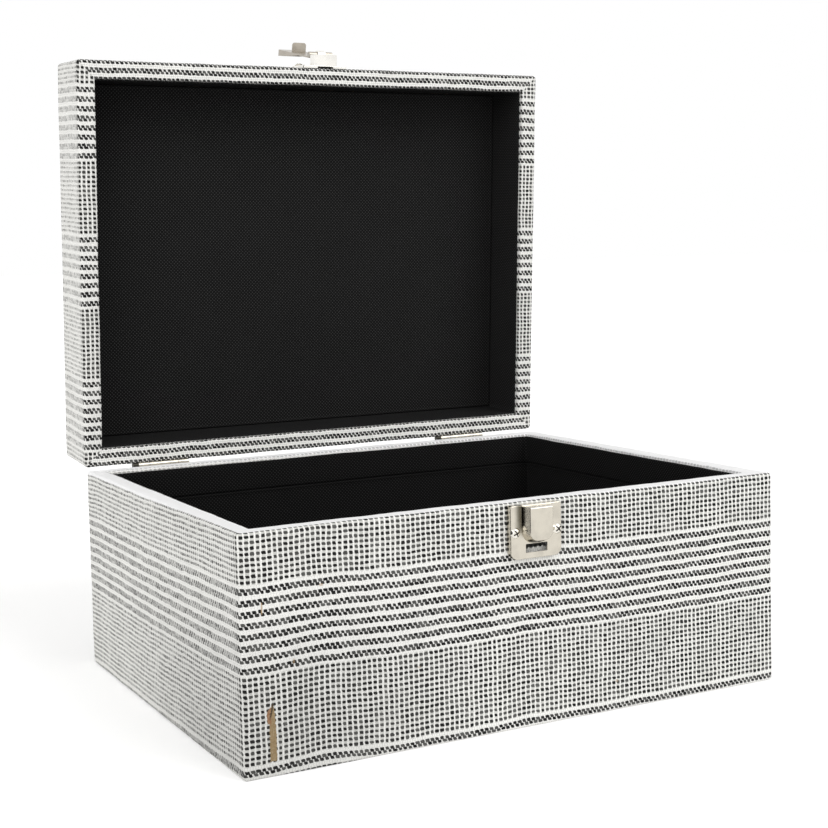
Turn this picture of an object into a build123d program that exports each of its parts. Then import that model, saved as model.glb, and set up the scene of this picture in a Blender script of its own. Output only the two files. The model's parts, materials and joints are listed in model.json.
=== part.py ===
"""A cloth-covered wooden storage box, standing open, with a hinged lid and a hasp.

Millimetres, +Z up. The origin is the middle of the underside and the front faces -Y.
Pieces of the lid and the hasp are drawn where they lie when the box is shut, on planes
that carry them to the open pose.
"""
from build123d import *
import os
from math import asin, cos, sin

# The whole box, measured over its cloth
width = 300.0
depth = 228.5
box_height = 110.0
lid_height = 40.0
open_angle = 86.6  # degrees from shut to the stop of the hinges
rim_gap = 1.1  # between the rims when shut

# Fibreboard
board = 9.0
panel = 4.0
rebate = 4.5
arris = 0.8
corner = 1.5

# Check cloth, glued over the boards
cloth = 0.6
box_turn_in = 18.0
lid_turn_in = 12.0
hem = 14.0
underside_play = 0.4

# Black lining, wrapped over cards
card = 2.3
wrap = 0.8
band_top = 1.6
groove = 0.6
lid_card = 1.4
lid_lining = 0.8
lid_lining_top = 3.0

# Two butt hinges on the backs of box and lid, with small barrels in the gap between the rims;
# a tail on each leaf meets the other when the lid is open
hinge_left_inset = 44.5
hinge_right_inset = 55.0
hinge_length = 34.0
pin_head = 3.5
outer_knuckle = 6.5
knuckle_play = 0.2
leaf = 0.8
leaf_reach = 12.0
leaf_corner = 2.0
leaf_play = 0.1
barrel_radius = 1.5
hinge_pin_radius = 0.8
running_play = 0.05
turning_room = 0.2
pivot_set_back = 0.9
tail_reach = 6.5
stop_play = 1.5  # degrees left between the tails at the stop
hinge_screw_spread = 10.0
hinge_screw_drop = 7.5
hinge_screw_head = 1.5
hinge_screw_shank = 0.8
hinge_screw_length = 7.5

# Catch on the front of the box; the whole latch stands a little right of the middle
latch_x = 1.2
sheet = 0.8
catch_width = 28.7
catch_height = 26.0
catch_drop = 1.1
catch_proud = 3.5
catch_low_corner = 4.0
catch_top_corner = 1.2
catch_edge = 0.6
boss_width = 16.6
boss_height = 18.8
boss_rise = 2.0
boss_proud = 8.6
boss_taper = 20.0
boss_low_corner = 6.5
boss_edge = 0.9
slot_width = 12.2
slot_height = 4.2

# Round-headed screws of the catch and of the bracket
latch_screw_spread = 11.8
latch_screw_head = 2.7
latch_screw_dome = 1.6
latch_screw_shank = 1.2
latch_screw_length = 9.0
recess_reach = 0.63  # of the head's radius
recess_width = 0.26

# Bracket and hasp on the front of the lid
bracket_depth = 17.5
bracket_lift = 0.3
bracket_proud = 1.8
bracket_corner = 1.5
bracket_notch = 10.0
housing_width = 15.0
housing_height = 8.0
housing_depth = 5.5
housing_wall = 0.9
lug_width = 4.8
lug_radius = 2.6
hasp_pin_radius = 0.9
hasp_pin_stand = 8.2
hasp_pin_rise = 8.0
hasp_swing = 171.0  # degrees from engaged to folded back on the lid
hasp_width = 15.0
hasp_sheet = 0.9
hasp_length = 47.0
hasp_tip_corner = 2.5
hasp_lip = 4.0
flange_start = 16.0
hasp_side_play = 0.25
hook_drop = 31.2
hook_width = 9.0
hook_length = 5.6
hook_corner = 1.6

# Places that follow from the sizes above
rim_z = box_height + rim_gap
lid_top_z = rim_z + lid_height
pivot_y = depth / 2 + pivot_set_back
pivot_z = box_height + rim_gap / 2
hinge_centres = {"left": hinge_left_inset - width / 2, "right": width / 2 - hinge_right_inset}
inner_width = width - 2 * (cloth + board)
inner_depth = depth - 2 * (cloth + board)
lining = card + wrap
face_y = -depth / 2
catch_top_z = box_height - catch_drop
catch_middle_z = catch_top_z - catch_height / 2
boss_low_z = catch_top_z - boss_height
slot_middle_z = boss_low_z - slot_height / 2
hasp_y = face_y - hasp_pin_stand
hasp_z = rim_z + hasp_pin_rise
strap_inner = hasp_pin_radius + running_play
strap_outer = strap_inner + hasp_sheet


def swung(base, y, z, angle):
    """The base plane after it opens by an angle about the X line through y, z."""
    hub = Plane(base.from_local_coords((0, y, z)), x_dir=base.x_dir, z_dir=base.z_dir)
    hub = hub.rotated((-angle, 0, 0))
    return Plane(hub.from_local_coords((0, -y, -z)), x_dir=hub.x_dir, z_dir=hub.z_dir)


def facing_front(base, y):
    """A plane at y that looks forward: its sketch axes are the base's X and Z."""
    return Plane(base.from_local_coords((0, y, 0)), x_dir=base.x_dir, z_dir=-base.y_dir)


def facing_back(base, y):
    """A plane at y that looks backwards: its sketch axes are the base's -X and Z."""
    return Plane(base.from_local_coords((0, y, 0)), x_dir=-base.x_dir, z_dir=base.y_dir)


def facing_right(base, x):
    """A plane at x that looks to the right: its sketch axes are the base's Y and Z."""
    return Plane(base.from_local_coords((x, 0, 0)), x_dir=base.y_dir, z_dir=base.x_dir)


BOX = Plane.XY
LID = swung(BOX, pivot_y, pivot_z, open_angle)
HASP = swung(LID, hasp_y, hasp_z, hasp_swing)
BOX_FACE = facing_front(BOX, face_y)
LID_FACE = facing_front(LID, face_y)
BOX_BACK = facing_back(BOX, depth / 2)
LID_BACK = facing_back(LID, depth / 2)
STRAP = facing_front(HASP, hasp_y)


def block(base, low, high):
    """A plain block between two corners."""
    with BuildPart() as made:
        with BuildSketch(base.offset(low[2])):
            with Locations(((low[0] + high[0]) / 2, (low[1] + high[1]) / 2)):
                Rectangle(high[0] - low[0], high[1] - low[1])
        extrude(amount=high[2] - low[2])
    return made.part


def middle_block(base, size_x, size_y, low_z, high_z):
    """A plain block over the middle of the box, between two heights."""
    return block(base, (-size_x / 2, -size_y / 2, low_z), (size_x / 2, size_y / 2, high_z))


def rod(base, radius, x_low, x_high, y, z):
    """A round bar along X."""
    with BuildPart() as made:
        with BuildSketch(facing_right(base, x_low)):
            with Locations((y, z)):
                Circle(radius)
        extrude(amount=x_high - x_low)
    return made.part


def holes(plane, spots, radius, reach):
    """Round holes from a plane down to a depth under it."""
    with BuildPart() as made:
        with BuildSketch(plane):
            with Locations(*spots):
                Circle(radius)
        extrude(amount=-reach)
    return made.part


def tray_walls(base, low_z, high_z, inset, thickness, rounding, rim_on_top):
    """Four walls in one ring, with rounded corners, rim and outer edge at the closed end."""
    with BuildPart() as ring:
        with BuildSketch(base.offset(low_z)):
            RectangleRounded(width - 2 * inset, depth - 2 * inset, corner + cloth - inset)
            inner = inset + thickness
            Rectangle(width - 2 * inner, depth - 2 * inner, mode=Mode.SUBTRACT)
        extrude(amount=high_z - low_z)
        ends = ring.faces().sort_by(Axis(base.origin, base.z_dir))
        rim, foot = (ends[-1], ends[0]) if rim_on_top else (ends[0], ends[-1])
        fillet(list(rim.edges()) + list(foot.outer_wire().edges()), radius=rounding)
    return ring.part


def panel_block(base, low_z):
    """A panel that fills the rebates of the four boards around it."""
    return middle_block(base, inner_width + 2 * rebate, inner_depth + 2 * rebate, low_z, low_z + panel)


def tray_boards(base, low_z, high_z, panel_low_z, rim_on_top):
    """The four boards of a tray: front and back run past the sides and are rebated for them."""
    ring = tray_walls(base, low_z, high_z, cloth, board, arris, rim_on_top)
    panel_space = panel_block(base, panel_low_z)
    half_x, half_y = inner_width / 2, inner_depth / 2
    side_spaces = {
        name: block(base, (x_low, -half_y - rebate, low_z), (x_low + board, half_y + rebate, high_z))
        for name, x_low in (("left", -half_x - board), ("right", half_x))
    }
    boards = {}
    for name, space in side_spaces.items():
        with BuildPart() as side_board:
            add(ring)
            add(space, mode=Mode.INTERSECT)
            add(panel_space, mode=Mode.SUBTRACT)
        boards[name] = side_board.part
    for name, y_low, y_high in (("front", -half_y - board, -half_y), ("back", half_y, half_y + board)):
        with BuildPart() as long_board:
            add(ring)
            add(block(base, (-width / 2, y_low, low_z), (width / 2, y_high, high_z)), mode=Mode.INTERSECT)
            for space in side_spaces.values():
                add(space, mode=Mode.SUBTRACT)
            add(panel_space, mode=Mode.SUBTRACT)
        boards[name] = long_board.part
    return boards


def wrapped_panel(base, low, high, back_axis, back_side):
    """A card, and the lining wrapped over it everywhere but on its back."""
    card_low = [value + wrap for value in low]
    card_high = [value - wrap for value in high]
    if back_side > 0:
        card_high[back_axis] = high[back_axis]
    else:
        card_low[back_axis] = low[back_axis]
    core = block(base, card_low, card_high)
    with BuildPart() as cover:
        add(block(base, low, high))
        add(core, mode=Mode.SUBTRACT)
    return core, cover.part


def turned(plane, x, y, outline):
    """A solid turned about the plane's normal at x, y, from radius and height points."""
    foot = plane.from_local_coords((x, y, 0))
    with BuildPart() as made:
        with BuildSketch(Plane(foot, x_dir=plane.x_dir, z_dir=-plane.y_dir)):
            with BuildLine():
                Polyline(*outline, close=True)
            make_face()
        revolve(axis=Axis(foot, plane.z_dir))
    return made.part


def cross_recess(plane, x, y, head, turn):
    """The cross cut into the top of a screw's head, which lies on the plane."""
    with BuildPart() as made:
        with BuildSketch(plane):
            with Locations((x, y)):
                Rectangle(2 * recess_reach * head, recess_width * head, rotation=turn)
                Rectangle(2 * recess_reach * head, recess_width * head, rotation=turn + 90)
        extrude(amount=-head / 3)
    return made.part


def flat_screws(plane, spots, turns):
    """Countersunk hinge screws whose heads lie flush with the plane."""
    head, shank, length = hinge_screw_head, hinge_screw_shank, hinge_screw_length
    outline = [(0, 0), (head, 0), (shank, shank - head), (shank, shank - length), (0, -length)]
    with BuildPart() as group:
        for (x, y), turn in zip(spots, turns):
            add(turned(plane, x, y, outline))
            add(cross_recess(plane, x, y, head, turn), mode=Mode.SUBTRACT)
    return group.part


def dome_screws(plane, spots, turns):
    """Round-headed latch screws whose heads stand on the plane."""
    head, dome, shank, length = latch_screw_head, latch_screw_dome, latch_screw_shank, latch_screw_length
    ball = (head**2 + dome**2) / (2 * dome)
    sweep = asin(head / ball)
    crown = [(ball * sin(sweep * step / 8), dome - ball * (1 - cos(sweep * step / 8))) for step in range(9)]
    outline = crown + [(shank, 0), (shank, shank - length), (0, -length)]
    with BuildPart() as group:
        for (x, y), turn in zip(spots, turns):
            add(turned(plane, x, y, outline))
            add(cross_recess(plane.offset(dome), x, y, head, turn), mode=Mode.SUBTRACT)
    return group.part


def dished_plate(plane, z, size_x, size_z, proud, low_corner, top_corner, edge):
    """A pressed plate with its edges turned back to the face that it stands on."""
    with BuildPart() as made:
        for inset, mode in ((0, Mode.ADD), (sheet, Mode.SUBTRACT)):
            with BuildSketch(plane) as outline:
                with Locations((latch_x, z)):
                    Rectangle(size_x - 2 * inset, size_z - 2 * inset)
                fillet(outline.vertices().group_by(Axis.Y)[0], radius=max(low_corner - inset, arris / 2))
                fillet(outline.vertices().group_by(Axis.Y)[-1], radius=max(top_corner - inset, arris / 2))
            extrude(amount=proud - inset, mode=mode)
            if mode == Mode.ADD:
                front = made.faces().sort_by(Axis(plane.origin, plane.z_dir))[-1]
                fillet(front.edges(), radius=edge)
    return made.part


def boss_form(low_height, high_height, inset):
    """The catch's boss between two heights over the box's face: a U that narrows forwards."""
    with BuildPart() as made:
        with BuildSketch(BOX_FACE.offset(low_height)) as outline:
            with Locations((latch_x, catch_top_z + boss_rise)):
                Rectangle(
                    boss_width - 2 * inset, boss_height + boss_rise - inset,
                    align=(Align.CENTER, Align.MAX),
                )
            fillet(outline.vertices().group_by(Axis.Y)[0], radius=boss_low_corner - inset)
        extrude(amount=high_height - low_height, taper=boss_taper)
        with BuildSketch(BOX_FACE.offset(low_height)):
            with Locations((latch_x, catch_top_z - catch_edge - inset)):
                Rectangle(boss_width, 2 * boss_rise, align=(Align.CENTER, Align.MIN))
        extrude(amount=high_height - low_height, mode=Mode.SUBTRACT)
    return made.part


# Where the screws stand, in the sketch axes of the plane that their heads lie on
hinge_screw_x = [
    centre + pin_head / 2 + side * hinge_screw_spread
    for centre in hinge_centres.values() for side in (-1, 1)
]
box_hinge_spots = [(-x, pivot_z - hinge_screw_drop) for x in hinge_screw_x]
lid_hinge_spots = [(-x, pivot_z + hinge_screw_drop) for x in hinge_screw_x]
catch_spots = [(latch_x + side * latch_screw_spread, catch_middle_z) for side in (-1, 1)]
bracket_screw_z = rim_z + bracket_lift + bracket_depth - latch_screw_head - sheet
bracket_spots = [(latch_x + side * (latch_screw_spread - sheet), bracket_screw_z) for side in (-1, 1)]


def hinge_leaf(base, centre, up, own_spans, other_spans, bore):
    """A leaf with its knuckles and its tail; up is 1 over the pivot and -1 under it."""
    back = facing_back(base, depth / 2)
    left, right = centre + pin_head - hinge_length / 2, centre + hinge_length / 2
    head, shank = hinge_screw_head + running_play, hinge_screw_shank + running_play
    countersink = [(0, 0), (head, 0), (shank, shank - head), (shank, -2 * leaf), (0, -2 * leaf)]
    tail_low, tail_high = own_spans[0][0], own_spans[-1][1]
    with BuildPart() as made:
        with BuildSketch(back) as outline:
            with Locations((-(left + right) / 2, pivot_z + up * (leaf_play + leaf_reach) / 2)):
                Rectangle(right - left, leaf_reach)
            far = outline.vertices().group_by(Axis.Y)[-1 if up > 0 else 0]
            fillet(far, radius=leaf_corner)
        extrude(amount=leaf)
        with BuildSketch(facing_right(base, centre + tail_low)):
            with Locations((pivot_y, pivot_z)):
                Rectangle(
                    tail_reach, leaf, rotation=up * (open_angle + stop_play) / 2,
                    align=(Align.MIN, Align.MIN if up > 0 else Align.MAX),
                )
        extrude(amount=tail_high - tail_low)
        for low, high in other_spans:
            room = rod(
                base, barrel_radius + turning_room,
                centre + low - knuckle_play, centre + high + knuckle_play, pivot_y, pivot_z,
            )
            add(room, mode=Mode.SUBTRACT)
        for low, high in own_spans:
            add(rod(base, barrel_radius, centre + low, centre + high, pivot_y, pivot_z))
        add(rod(base, bore, left, right, pivot_y, pivot_z), mode=Mode.SUBTRACT)
        for side in (-1, 1):
            spot_x = (left + right) / 2 + side * hinge_screw_spread
            spot_z = pivot_z + up * hinge_screw_drop
            add(turned(back.offset(leaf), -spot_x, spot_z, countersink), mode=Mode.SUBTRACT)
    return made.part


# Boards of the box
box_low, box_high = cloth, box_height - cloth
floor_z = box_low + panel
box_boards = tray_boards(BOX, box_low, box_high, box_low, rim_on_top=True)
hinge_reach = hinge_screw_length - leaf
catch_reach = latch_screw_length - catch_proud

with BuildPart() as base_panel:
    add(panel_block(BOX, box_low))

with BuildPart() as front_board:
    add(box_boards["front"])
    add(holes(BOX_FACE, catch_spots, latch_screw_shank, catch_reach), mode=Mode.SUBTRACT)

with BuildPart() as back_board:
    add(box_boards["back"])
    add(holes(BOX_BACK, box_hinge_spots, hinge_screw_shank, hinge_reach), mode=Mode.SUBTRACT)

# Check cloth of the box: over the boards and the rim, down inside and under the base
with BuildPart() as box_cloth:
    add(tray_walls(BOX, 0, box_height, 0, board + 2 * cloth, arris + cloth, rim_on_top=True))
    with BuildSketch(BOX):
        Rectangle(inner_width, inner_depth)
        Rectangle(width - 2 * hem, depth - 2 * hem, mode=Mode.SUBTRACT)
    extrude(amount=cloth)
    add(tray_walls(BOX, box_low, box_high, cloth, board, arris, rim_on_top=True), mode=Mode.SUBTRACT)
    add(middle_block(BOX, inner_width, inner_depth, cloth, box_height - box_turn_in), mode=Mode.SUBTRACT)
    add(holes(BOX_BACK, box_hinge_spots, hinge_screw_shank, cloth), mode=Mode.SUBTRACT)
    add(holes(BOX_FACE, catch_spots, latch_screw_shank, cloth), mode=Mode.SUBTRACT)

with BuildPart() as base_cover:
    with BuildSketch(BOX):
        cover_inset = hem + underside_play
        RectangleRounded(width - 2 * cover_inset, depth - 2 * cover_inset, corner)
    extrude(amount=cloth)

# Lining of the box: four walls round a floor, and a band over the turned-in cloth
wall_low, wall_high = floor_z, box_height - box_turn_in - groove
out_x, out_y = inner_width / 2, inner_depth / 2
in_x, in_y = out_x - lining, out_y - lining
wall_panels = {
    "front": wrapped_panel(BOX, (-out_x, -out_y, wall_low), (out_x, -in_y, wall_high), 1, -1),
    "back": wrapped_panel(BOX, (-out_x, in_y, wall_low), (out_x, out_y, wall_high), 1, 1),
    "left": wrapped_panel(BOX, (-out_x, -in_y, wall_low), (-in_x, in_y, wall_high), 0, -1),
    "right": wrapped_panel(BOX, (in_x, -in_y, wall_low), (out_x, in_y, wall_high), 0, 1),
}
floor_card, floor_lining = wrapped_panel(
    BOX, (-in_x, -in_y, floor_z), (in_x, in_y, floor_z + lining), 2, -1
)

with BuildPart() as lining_band:
    with BuildSketch(BOX.offset(box_height - box_turn_in)):
        Rectangle(inner_width - 2 * cloth, inner_depth - 2 * cloth)
        Rectangle(2 * in_x, 2 * in_y, mode=Mode.SUBTRACT)
    extrude(amount=box_turn_in - band_top)

# Boards of the lid
lid_low, lid_high = rim_z + cloth, lid_top_z - cloth
lid_panel_low = lid_high - panel
lid_boards = tray_boards(LID, lid_low, lid_high, lid_panel_low, rim_on_top=False)
bracket_reach = latch_screw_length - bracket_proud

with BuildPart() as lid_panel:
    add(panel_block(LID, lid_panel_low))

with BuildPart() as lid_front_board:
    add(lid_boards["front"])
    add(holes(LID_FACE, bracket_spots, latch_screw_shank, bracket_reach), mode=Mode.SUBTRACT)

with BuildPart() as lid_back_board:
    add(lid_boards["back"])
    add(holes(LID_BACK, lid_hinge_spots, hinge_screw_shank, hinge_reach), mode=Mode.SUBTRACT)

# Check cloth of the lid: over the top, the walls and the rim, and a little way inside
with BuildPart() as lid_cloth:
    add(tray_walls(LID, rim_z, lid_top_z, 0, board + 2 * cloth, arris + cloth, rim_on_top=False))
    add(middle_block(LID, inner_width, inner_depth, lid_high, lid_top_z))
    add(tray_walls(LID, lid_low, lid_high, cloth, board, arris, rim_on_top=False), mode=Mode.SUBTRACT)
    add(middle_block(LID, inner_width, inner_depth, rim_z + lid_turn_in, lid_high), mode=Mode.SUBTRACT)
    add(holes(LID_BACK, lid_hinge_spots, hinge_screw_shank, cloth), mode=Mode.SUBTRACT)
    add(holes(LID_FACE, bracket_spots, latch_screw_shank, cloth), mode=Mode.SUBTRACT)

# Lining of the lid: a strip round the walls, half over the turned-in cloth, and a card
strip = cloth + lid_lining
strip_low, turn_end = rim_z + lid_lining_top, rim_z + lid_turn_in
with BuildPart() as lid_side_lining:
    add(middle_block(LID, inner_width - 2 * cloth, inner_depth - 2 * cloth, strip_low, turn_end))
    add(middle_block(LID, inner_width, inner_depth, turn_end, lid_panel_low))
    add(
        middle_block(LID, inner_width - 2 * strip, inner_depth - 2 * strip, strip_low, lid_panel_low),
        mode=Mode.SUBTRACT,
    )

lid_lining_card, lid_top_lining = wrapped_panel(
    LID,
    (strip - out_x, strip - out_y, lid_panel_low - lid_card - wrap),
    (out_x - strip, out_y - strip, lid_panel_low),
    2, 1,
)

# Hinges: the box leaf has the two outer knuckles and holds the pin, the lid leaf turns on it
half = hinge_length / 2
first_end = pin_head + outer_knuckle - half
outer_spans = [(pin_head - half, first_end), (half - outer_knuckle, half)]
middle_spans = [(first_end + knuckle_play, half - outer_knuckle - knuckle_play)]
turning_bore = hinge_pin_radius + running_play
box_leaves, lid_leaves, hinge_pins = {}, {}, {}
for name, centre in hinge_centres.items():
    box_leaves[name] = hinge_leaf(BOX, centre, -1, outer_spans, middle_spans, hinge_pin_radius)
    lid_leaves[name] = hinge_leaf(LID, centre, 1, middle_spans, outer_spans, turning_bore)
    with BuildPart() as hinge_pin:
        add(rod(BOX, hinge_pin_radius, centre - half, centre + half, pivot_y, pivot_z))
        add(rod(BOX, barrel_radius, centre - half, centre + pin_head - half, pivot_y, pivot_z))
    hinge_pins[name] = hinge_pin.part
box_hinge_screws = flat_screws(BOX_BACK.offset(leaf), box_hinge_spots, turns=(20, 65, 5, 40))
lid_hinge_screws = flat_screws(LID_BACK.offset(leaf), lid_hinge_spots, turns=(50, 10, 75, 30))

# Catch: a dished plate with a hollow boss over the slot that the hasp's hook enters
with BuildPart() as catch_plate:
    add(
        dished_plate(
            BOX_FACE, catch_middle_z, catch_width, catch_height, catch_proud,
            catch_low_corner, catch_top_corner, catch_edge,
        )
    )
    add(boss_form(catch_proud - sheet / 2, boss_proud, 0))
    boss_front = catch_plate.faces().sort_by(Axis.Y)[0]
    fillet(boss_front.edges(), radius=boss_edge)
    add(boss_form(catch_proud - sheet, boss_proud - sheet, sheet), mode=Mode.SUBTRACT)
    with BuildSketch(BOX_FACE):
        with Locations((latch_x, slot_middle_z)):
            RectangleRounded(slot_width, slot_height, arris / 2)
    extrude(amount=boss_proud, mode=Mode.SUBTRACT)
    add(
        holes(BOX_FACE.offset(catch_proud), catch_spots, latch_screw_shank + running_play, catch_proud),
        mode=Mode.SUBTRACT,
    )

catch_screws = dome_screws(BOX_FACE.offset(catch_proud), catch_spots, turns=(25, 40))

# Bracket: a dished plate on the lid with a small housing and the lug that holds the hasp's pin
bracket_low = rim_z + bracket_lift
with BuildPart() as hasp_bracket:
    add(
        dished_plate(
            LID_FACE, bracket_low + bracket_depth / 2, catch_width, bracket_depth, bracket_proud,
            bracket_corner, bracket_corner, catch_edge,
        )
    )
    with BuildSketch(LID_FACE.offset(bracket_proud - sheet / 2)):
        with Locations((latch_x, bracket_low)):
            Rectangle(housing_width, housing_depth, align=(Align.CENTER, Align.MIN))
        with Locations((latch_x, bracket_low + housing_wall)):
            Rectangle(
                housing_width - 2 * housing_wall, housing_depth,
                align=(Align.CENTER, Align.MIN), mode=Mode.SUBTRACT,
            )
    extrude(amount=housing_height - bracket_proud + sheet / 2)
    with BuildSketch(facing_right(LID, latch_x - lug_width / 2)):
        with Locations((hasp_y, hasp_z)):
            Circle(lug_radius)
        with Locations((face_y - bracket_proud + sheet / 2, hasp_z)):
            Rectangle(
                hasp_pin_stand - bracket_proud + sheet / 2, 2 * lug_radius, align=(Align.MAX, Align.CENTER)
            )
    extrude(amount=lug_width)
    add(
        rod(LID, hasp_pin_radius, latch_x - lug_width / 2, latch_x + lug_width / 2, hasp_y, hasp_z),
        mode=Mode.SUBTRACT,
    )
    with BuildSketch(LID_FACE):
        with Locations((latch_x, bracket_low)):
            Rectangle(bracket_notch, 2 * sheet)
    extrude(amount=bracket_proud - sheet, mode=Mode.SUBTRACT)
    add(
        holes(
            LID_FACE.offset(bracket_proud), bracket_spots, latch_screw_shank + running_play, bracket_proud
        ),
        mode=Mode.SUBTRACT,
    )

bracket_screws = dome_screws(LID_FACE.offset(bracket_proud), bracket_spots, turns=(60, 15))
hasp_pin = rod(
    LID, hasp_pin_radius, latch_x - hasp_width / 2 + running_play, latch_x + hasp_width / 2 - running_play,
    hasp_y, hasp_z,
)

# Hasp: two knuckles, a strap whose sides and tip are turned outwards, and the hook
with BuildPart() as hasp:
    tip_z = hasp_z - hasp_length
    with BuildSketch(STRAP.offset(strap_inner)) as strap_outline:
        with Locations((latch_x, hasp_z)):
            Rectangle(hasp_width, hasp_length, align=(Align.CENTER, Align.MAX))
        fillet(strap_outline.vertices().group_by(Axis.Y)[0], radius=hasp_tip_corner)
    extrude(amount=hasp_lip)
    with BuildSketch(STRAP.offset(strap_outer)):
        with Locations((latch_x, tip_z + hasp_sheet)):
            Rectangle(
                hasp_width - 2 * hasp_sheet, hasp_length + hasp_sheet, align=(Align.CENTER, Align.MIN)
            )
    extrude(amount=hasp_lip, mode=Mode.SUBTRACT)
    knuckle_low = latch_x - hasp_width / 2
    flange_z, outward = hasp_z - flange_start, hasp_y - strap_outer
    with BuildSketch(facing_right(HASP, knuckle_low)):
        with BuildLine():
            Polyline(
                (outward, hasp_z + hasp_sheet), (outward, flange_z),
                (hasp_y - strap_inner - hasp_lip, tip_z), (outward - hasp_lip, tip_z),
                (outward - hasp_lip, hasp_z + hasp_sheet), close=True,
            )
        make_face()
    extrude(amount=hasp_width, mode=Mode.SUBTRACT)
    add(rod(HASP, strap_outer, knuckle_low, knuckle_low + hasp_width, hasp_y, hasp_z))
    add(rod(HASP, strap_inner, knuckle_low, knuckle_low + hasp_width, hasp_y, hasp_z), mode=Mode.SUBTRACT)
    with BuildSketch(STRAP.offset(strap_outer)):
        with Locations((latch_x, hasp_z)):
            Rectangle(lug_width + 2 * hasp_side_play, 2 * (lug_radius + hasp_side_play))
    extrude(amount=-2 * strap_outer, mode=Mode.SUBTRACT)
    with BuildSketch(STRAP.offset(strap_inner)):
        with Locations((latch_x, hasp_z - hook_drop)):
            Rectangle(hook_width, hasp_sheet)
    extrude(amount=-hook_length)
    hook_end = hasp.faces().sort_by(Axis(STRAP.origin, STRAP.z_dir))[0]
    hook_corners = hook_end.edges().filter_by(Axis(STRAP.origin, STRAP.y_dir))
    fillet(hook_corners, radius=hook_corner)

pieces = {
    "base_panel": base_panel.part,
    "front_board": front_board.part,
    "back_board": back_board.part,
    "left_board": box_boards["left"],
    "right_board": box_boards["right"],
    "box_cloth": box_cloth.part,
    "base_cover": base_cover.part,
    "floor_card": floor_card,
    "floor_lining": floor_lining,
    "lining_band": lining_band.part,
    "catch_plate": catch_plate.part,
    "catch_screws": catch_screws,
    "box_hinge_screws": box_hinge_screws,
    "lid_panel": lid_panel.part,
    "lid_front_board": lid_front_board.part,
    "lid_back_board": lid_back_board.part,
    "lid_left_board": lid_boards["left"],
    "lid_right_board": lid_boards["right"],
    "lid_cloth": lid_cloth.part,
    "lid_side_lining": lid_side_lining.part,
    "lid_lining_card": lid_lining_card,
    "lid_top_lining": lid_top_lining,
    "lid_hinge_screws": lid_hinge_screws,
    "hasp_bracket": hasp_bracket.part,
    "bracket_screws": bracket_screws,
    "hasp_pin": hasp_pin,
    "hasp": hasp.part,
}
for name, (core, cover) in wall_panels.items():
    pieces[f"{name}_card"] = core
    pieces[f"{name}_lining"] = cover
for name in hinge_centres:
    pieces[f"{name}_hinge_box_leaf"] = box_leaves[name]
    pieces[f"{name}_hinge_lid_leaf"] = lid_leaves[name]
    pieces[f"{name}_hinge_pin"] = hinge_pins[name]

os.makedirs("parts", exist_ok=True)
for name, piece in pieces.items():
    piece.label = name
    export_step(piece, f"parts/{name}.step")
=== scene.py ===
"""A cloth-covered storage box that stands open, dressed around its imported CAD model.

Sizes in this file are millimetres unless a name says otherwise; meshes are written in
metres. Pieces of the lid are laid out where they lie when the box is shut and are then
swung open, as in the CAD model.
"""

import json
import logging
import math
from dataclasses import dataclass
from enum import Enum
from functools import reduce
from typing import Callable, Sequence

import bmesh
import bpy
import numpy as np
from mathutils import Matrix, Vector, noise


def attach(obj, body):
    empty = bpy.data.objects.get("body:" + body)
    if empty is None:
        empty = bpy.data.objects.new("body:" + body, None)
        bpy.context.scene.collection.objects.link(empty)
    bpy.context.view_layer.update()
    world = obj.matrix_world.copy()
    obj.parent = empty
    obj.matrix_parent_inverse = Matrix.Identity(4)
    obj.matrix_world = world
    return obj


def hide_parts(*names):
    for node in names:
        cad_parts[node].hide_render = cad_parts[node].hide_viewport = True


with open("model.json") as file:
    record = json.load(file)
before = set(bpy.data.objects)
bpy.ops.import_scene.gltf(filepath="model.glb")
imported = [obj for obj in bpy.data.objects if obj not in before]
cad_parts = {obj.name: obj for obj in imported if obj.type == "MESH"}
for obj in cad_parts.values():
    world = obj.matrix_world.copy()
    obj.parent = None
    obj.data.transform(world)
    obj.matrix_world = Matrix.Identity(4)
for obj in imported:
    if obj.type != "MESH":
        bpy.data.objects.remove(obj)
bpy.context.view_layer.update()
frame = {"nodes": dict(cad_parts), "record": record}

log = logging.getLogger("storage_box")

MM = 0.001
WEAVE = "weave"
WHITE = (1.0, 1.0, 1.0, 1.0)

FIRST_DASH = 26.5  # from the rim down to the first row of dashes
CORNER_SLACK = 1.23  # what the curve of a corner takes off the way round
STRIP_ROOM = 0.05  # between a strip of lining and what lies beside it
PANEL_ROOM = 0.1  # between a lined panel and its neighbours

Point = tuple[float, float]
Triple = tuple[float, float, float]
Colour = Triple
Socket = bpy.types.NodeSocket
Value = float | Socket


class Side(Enum):
    """The part of a tray that a patch of cloth lies on."""

    FRONT = "front"
    RIGHT = "right"
    BACK = "back"
    LEFT = "left"
    TOP = "top"


class Slot(Enum):
    """The record's material slots."""

    CHECK = "check_cloth"
    LINING = "lining_cloth"
    FELT = "underside_felt"
    FIBREBOARD = "fibreboard"
    CARD = "card"
    NICKEL = "nickel"
    STEEL = "steel"


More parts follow.
